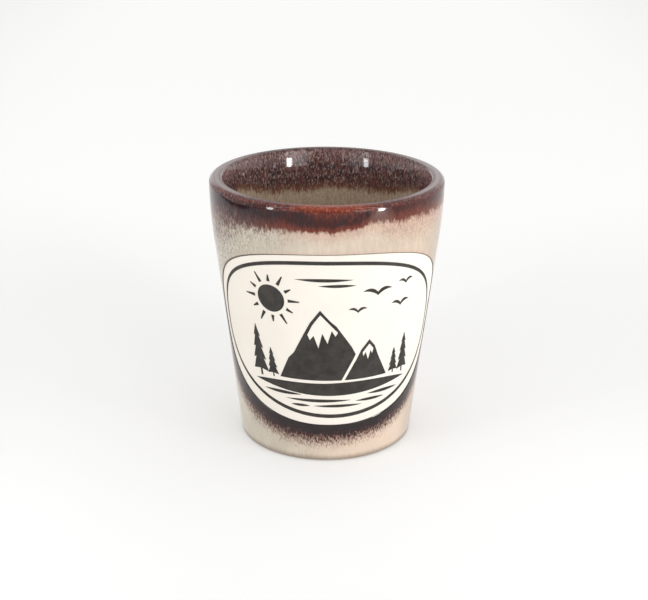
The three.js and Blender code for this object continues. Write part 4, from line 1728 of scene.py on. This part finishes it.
    @staticmethod
    def covered(points: Array, outlines: Outline) -> Array:
        """Tells which points lie in the ink: a line to the right crosses the outlines an odd number of times.

        Args:
            points: Rows of two.
            outlines: The patch's outline and its holes.

        Returns:
            True for each point in the ink.
        """
        inside = np.zeros(len(points), bool)
        x, y = points[:, :1], points[:, 1:]
        for outline in outlines:
            (ax, ay), (bx, by) = outline.T, np.roll(outline, -1, 0).T
            spans = (ay > y) != (by > y)
            rise = np.where(by == ay, 1, by - ay)
            crossings = (spans & (x < (bx - ax) * (y - ay) / rise + ax)).sum(1)
            inside ^= crossings % 2 == 1
        return inside

    def solid(self, name: str, outlines: Outline) -> bpy.types.Object:
        """Fills a patch with triangles and lays it on the panel.

        A flat point (u, v) goes to azimuth = print's middle at that height + u / half width times the half angle,
        and to height = bottom + v.

        Args:
            name: The piece's name.
            outlines: The outline and its holes, in shares.

        Returns:
            The piece.
        """
        layout = self.layout
        edges = [self.refined(outline * np.array([self.half_width, self.height])) for outline in outlines]
        spans = [np.arange(low, high, self.spacing) for low, high in zip(edges[0].min(0), edges[0].max(0))]
        lattice = np.stack(np.meshgrid(*spans), -1).reshape(-1, 2)
        lattice, rim = lattice[self.covered(lattice, edges)], np.concatenate(edges)
        if len(lattice):
            gap = np.min(np.linalg.norm(lattice[:, None] - rim[None], axis=2), axis=1)
            lattice = lattice[gap > self.least_gap * self.spacing]
        links, base = [], 0
        for edge in edges:
            number = np.arange(len(edge))
            links.append(np.stack([number, np.roll(number, -1)], -1) + base)
            base += len(edge)
        points = [Vector(p) for p in np.concatenate([rim, lattice]) / MM]
        flat, _, faces, *_ = delaunay_2d_cdt(points, np.concatenate(links).tolist(), [], 0, self.nearness)
        flat, faces = np.array([tuple(p) for p in flat]) * MM, np.array(faces)
        faces = faces[self.covered(flat[faces].mean(1), edges)]
        z = layout.border.bottom + flat[:, 1]
        azimuth = layout.print_azimuth(z) + flat[:, 0] / self.half_width * layout.border.half_angle
        draft = MeshDraft()
        draft.add(*layout.form.layer(azimuth, z, layout.ink_depth, layout.panel_sink), faces)
        return draft.solid(name)

    def dress(self, ink: bpy.types.Material) -> None:
        """Builds every patch and gives it the ink's finish.

        Args:
            ink: The ink's material.
        """
        for node, outlines in self.patches().items():
            install(self.solid("ink_" + node, outlines), node, Slot.INK, ink)


# The studio


@dataclass(frozen=True)
class RoomPatch:
    """A part of the room with its own brightness, whose sides fade softly.

    Its sides are azimuths and elevations in degrees, as seen from the cup.
    """

    left: float
    right: float
    bottom: float
    top: float
    glow: float
    fade: float = 5.0

    def share(self, nodes: Nodes, azimuth: Socket, elevation: Socket) -> Socket:
        """How much of the patch shows in a direction: the product of four smooth steps.

        Args:
            nodes: The room's nodes.
            azimuth: The direction's azimuth.
            elevation: The direction's elevation.

        Returns:
            The share, from 0 to 1.
        """
        half = self.fade / 2
        return nodes.share(
            (azimuth, self.left - half, self.left + half), (azimuth, self.right + half, self.right - half),
            (elevation, self.bottom - half, self.bottom + half), (elevation, self.top + half, self.top - half),
        )


@dataclass(frozen=True)
class Softbox:
    """A soft lamp that faces the cup from an azimuth and an elevation.

    Its size is given as angles seen from the cup, and its glow as the brightness of its face. A lamp that is
    mirrored only brightens the middle of a mirror image and lights nothing else.
    """

    AIM = (0, 0, 0.04)

    name: str
    azimuth: float
    elevation: float
    wide: float
    tall: float
    glow: float
    colour: Colour = (1.0, 1.0, 1.0)
    distance: float = 0.15
    mirrored_only: bool = False

    def build(self) -> None:
        """Makes the lamp: its power is pi times its area times its glow."""
        turn, lift = math.radians(self.azimuth), math.radians(self.elevation)
        back = Vector((math.sin(turn) * math.cos(lift), -math.cos(turn) * math.cos(lift), math.sin(lift)))
        lamp = bpy.data.lights.new(self.name, "AREA")
        lamp.shape, lamp.color = "RECTANGLE", self.colour
        lamp.size, lamp.size_y = (2 * self.distance * math.tan(math.radians(a) / 2) for a in (self.wide, self.tall))
        lamp.energy = math.pi * lamp.size * lamp.size_y * self.glow
        holder = linked(self.name, lamp)
        holder.location = Vector(self.AIM) + back * self.distance
        holder.rotation_mode = "QUATERNION"
        holder.rotation_quaternion = back.to_track_quat("Z", "Y")
        holder.visible_camera, holder.visible_diffuse = False, not self.mirrored_only


@dataclass(frozen=True)
class Studio:
    """The pale floor, the pale room, the soft lamps and the camera."""

    floor_rings: tuple[float, ...] = (3.0, 1.6, 0.8, 0.4, 0.2, 0.1, 0.05, 0.0)
    floor_columns: int = 96
    floor_light: Colour = linear(246, 246, 245)
    floor_cloud: Colour = (0.8, 0.8, 0.8)
    floor_glow: float = 0.25
    far_glow: float = 0.44
    side_glow: float = 0.365
    foot_glow: float = 0.03
    strip_place: tuple[float, float] = (-0.195, -0.17)
    strip_size: tuple[float, float, float] = (0.002, 0.42, 0.005)
    strip_dark: Colour = (0.003, 0.003, 0.003)
    strip_light: Colour = (0.006, 0.006, 0.006)
    room_light: float = 0.62
    patches: tuple[RoomPatch, ...] = (
        RoomPatch(80, 300, -30, 60, 1.1, 30.0),
        RoomPatch(-300, -80, -30, 60, 0.9, 30.0),
        RoomPatch(148, 171, -5, 24, 1.3, 8.0),
        RoomPatch(-171, -148, -5, 24, 1.45, 8.0),
        RoomPatch(158, 400, 24, 50, 0.6, 12.0),
        RoomPatch(-400, -158, 24, 50, 0.6, 12.0),
        RoomPatch(175, 400, -30, 18, 0.5, 8.0),
        RoomPatch(-400, -175, -30, 18, 0.5, 8.0),
        RoomPatch(-25, 24, -20, 24, 0.12, 12.0),
        RoomPatch(-46, -26, -2, 32, 1.5, 8.0),
        RoomPatch(25, 45, -2, 32, 3.3, 8.0),
    )
    lens: float = 67.94
    sensor: float = 36.0
    distance: float = 0.27
    elevation: float = 21.15
    roll: float = 0.0042
    target: Colour = (-0.000496, 0.0, 0.029709)
    clip: tuple[float, float] = (0.01, 20)
    lamps: tuple[Softbox, ...] = (
        Softbox("left_core", -50.2, 10, 6.0, 32, 10.5),
        Softbox("right_core", 48.3, 10, 6.0, 32, 12.0),
        Softbox("left_glint", -50.2, 10, 4.5, 30, 9.0, (0.85, 0.93, 1.0), 0.146, mirrored_only=True),
        Softbox("right_glint", 48.3, 9, 6.0, 33, 34.0, distance=0.146, mirrored_only=True),
        Softbox("left_top", -53, 48, 4, 40, 4.0),
        Softbox("right_top", 52, 48, 4, 40, 4.5),
    )

    def floor(self) -> None:
        """Makes the floor: a wide disc whose surface glows a little, so that shadows on it stay faint."""
        rings = np.array(self.floor_rings)
        points, corners = turned(np.stack([rings, 0 * rings], -1), self.floor_columns)
        mesh = bpy.data.meshes.new("studio_floor")
        mesh.from_pydata(points.tolist(), [], corners.tolist())
        paint = Paint("pale_floor")
        place = paint.place()
        x, y, _ = paint.split(place)
        cloud = paint.noise(place, 3.0, 2.0, 0.5)
        tone = paint.laid(self.floor_light, self.floor_cloud, (cloud, 0.3, 0.7, 0.0, 0.03))
        far = paint.rise(paint.calc("ABSOLUTE", x), 0.12, 0.28, self.far_glow, self.side_glow)
        away = paint.calc("SQRT", paint.calc("MULTIPLY_ADD", x, x, paint.calc("MULTIPLY", y, y)))
        near = paint.rise(away, 0.02, 0.15, self.floor_glow + self.foot_glow, self.floor_glow)
        paint.set(
            base_color=paint.blend(1.0, tone, (1 - self.floor_glow,) * 3, "MULTIPLY"), emission_color=tone,
            emission_strength=paint.rise(y, -0.06, 0.2, near, far), roughness=0.9, specular_ior_level=0.0,
        )
        mesh.materials.append(paint.material)
        linked("studio_floor", mesh)
        LOG.info("studio_floor is %.0f m across", 2 * rings.max())

    def strip(self) -> None:
        """Makes the thin dark strip that lies to the left, out of the picture, and that the lip mirrors as a line."""
        corners = np.indices((2, 2, 2)).reshape(3, -1).T * self.strip_size + (*self.strip_place, 0)
        sides = [(0, 1, 3, 2), (4, 6, 7, 5), (0, 4, 5, 1), (2, 3, 7, 6), (0, 2, 6, 4), (1, 5, 7, 3)]
        mesh = bpy.data.meshes.new("studio_strip")
        mesh.from_pydata(corners.tolist(), [], sides)
        strip = linked("studio_strip", mesh)
        strip.visible_camera = strip.visible_diffuse = strip.visible_shadow = False
        paint = Paint("dark_strip")
        tooth = paint.noise(paint.place(), 900, 2.0, 0.5)
        paint.set(base_color=paint.blend(tooth, self.strip_dark, self.strip_light), roughness=0.95)
        paint.set(specular_ior_level=0.0)
        mesh.materials.append(paint.material)
        LOG.info("studio_strip is %.0f mm long", self.strip_size[1] / MM)

    def room(self) -> None:
        """Makes the pale room: brighter behind the cup and in two windows, darker low behind the camera."""
        world = bpy.data.worlds.new("pale_room")
        bpy.context.scene.world = world
        world.use_nodes = True
        nodes = Nodes(world.node_tree)
        glow = next(node for node in nodes.tree.nodes if node.type == "BACKGROUND")
        x, y, z = nodes.split(nodes.tree.nodes.new("ShaderNodeTexCoord").outputs["Generated"])
        azimuth = nodes.calc("DEGREES", nodes.calc("ARCTAN2", x, nodes.calc("MULTIPLY", y, -1.0)))
        elevation = nodes.calc("DEGREES", nodes.calc("ARCSINE", z))
        strength = self.room_light
        for patch in self.patches:
            share = patch.share(nodes, azimuth, elevation)
            kept = nodes.calc("MULTIPLY", nodes.calc("SUBTRACT", 1.0, share), strength)
            strength = nodes.calc("MULTIPLY_ADD", share, patch.glow, kept)
        nodes.put(glow.inputs["Strength"], strength)
        nodes.put(glow.inputs["Color"], (1.0, 1.0, 1.0))

    def camera(self) -> None:
        """Makes the camera, which looks down at the cup from the front."""
        lift, roll = math.radians(self.elevation), self.roll
        ahead = Vector((0, math.cos(lift), -math.sin(lift)))
        side, up = Vector((1, 0, 0)), Vector((0, math.sin(lift), math.cos(lift)))
        right = math.cos(roll) * side + math.sin(roll) * up
        above = math.cos(roll) * up - math.sin(roll) * side
        view = bpy.data.cameras.new("camera")
        view.lens, view.sensor_width = self.lens, self.sensor
        view.clip_start, view.clip_end = self.clip
        view.dof.use_dof = False
        holder = linked("camera", view)
        axes = (right, above, -ahead, Vector(self.target) - ahead * self.distance)
        holder.matrix_world = Matrix((*zip(*axes), (0, 0, 0, 1)))
        bpy.context.scene.camera = holder

    def build(self) -> None:
        """Makes the whole studio."""
        bpy.context.scene.view_settings.view_transform = "Standard"
        self.camera()
        self.floor()
        self.strip()
        self.room()
        for lamp in self.lamps:
            lamp.build()
        LOG.info("studio has %d lamps", len(self.lamps))


def main() -> None:
    """Builds the cup's sub-assemblies in order, then the studio."""
    logging.basicConfig(level=logging.INFO, format="%(name)s: %(message)s")
    layout, ink = Layout(), InkFinish().material()
    ClayBody(layout.form).dress()
    Glazes(layout).dress()
    Panel(layout).dress(ink)
    Picture(layout).dress(ink)
    Studio().build()


if __name__ == "__main__":
    main()
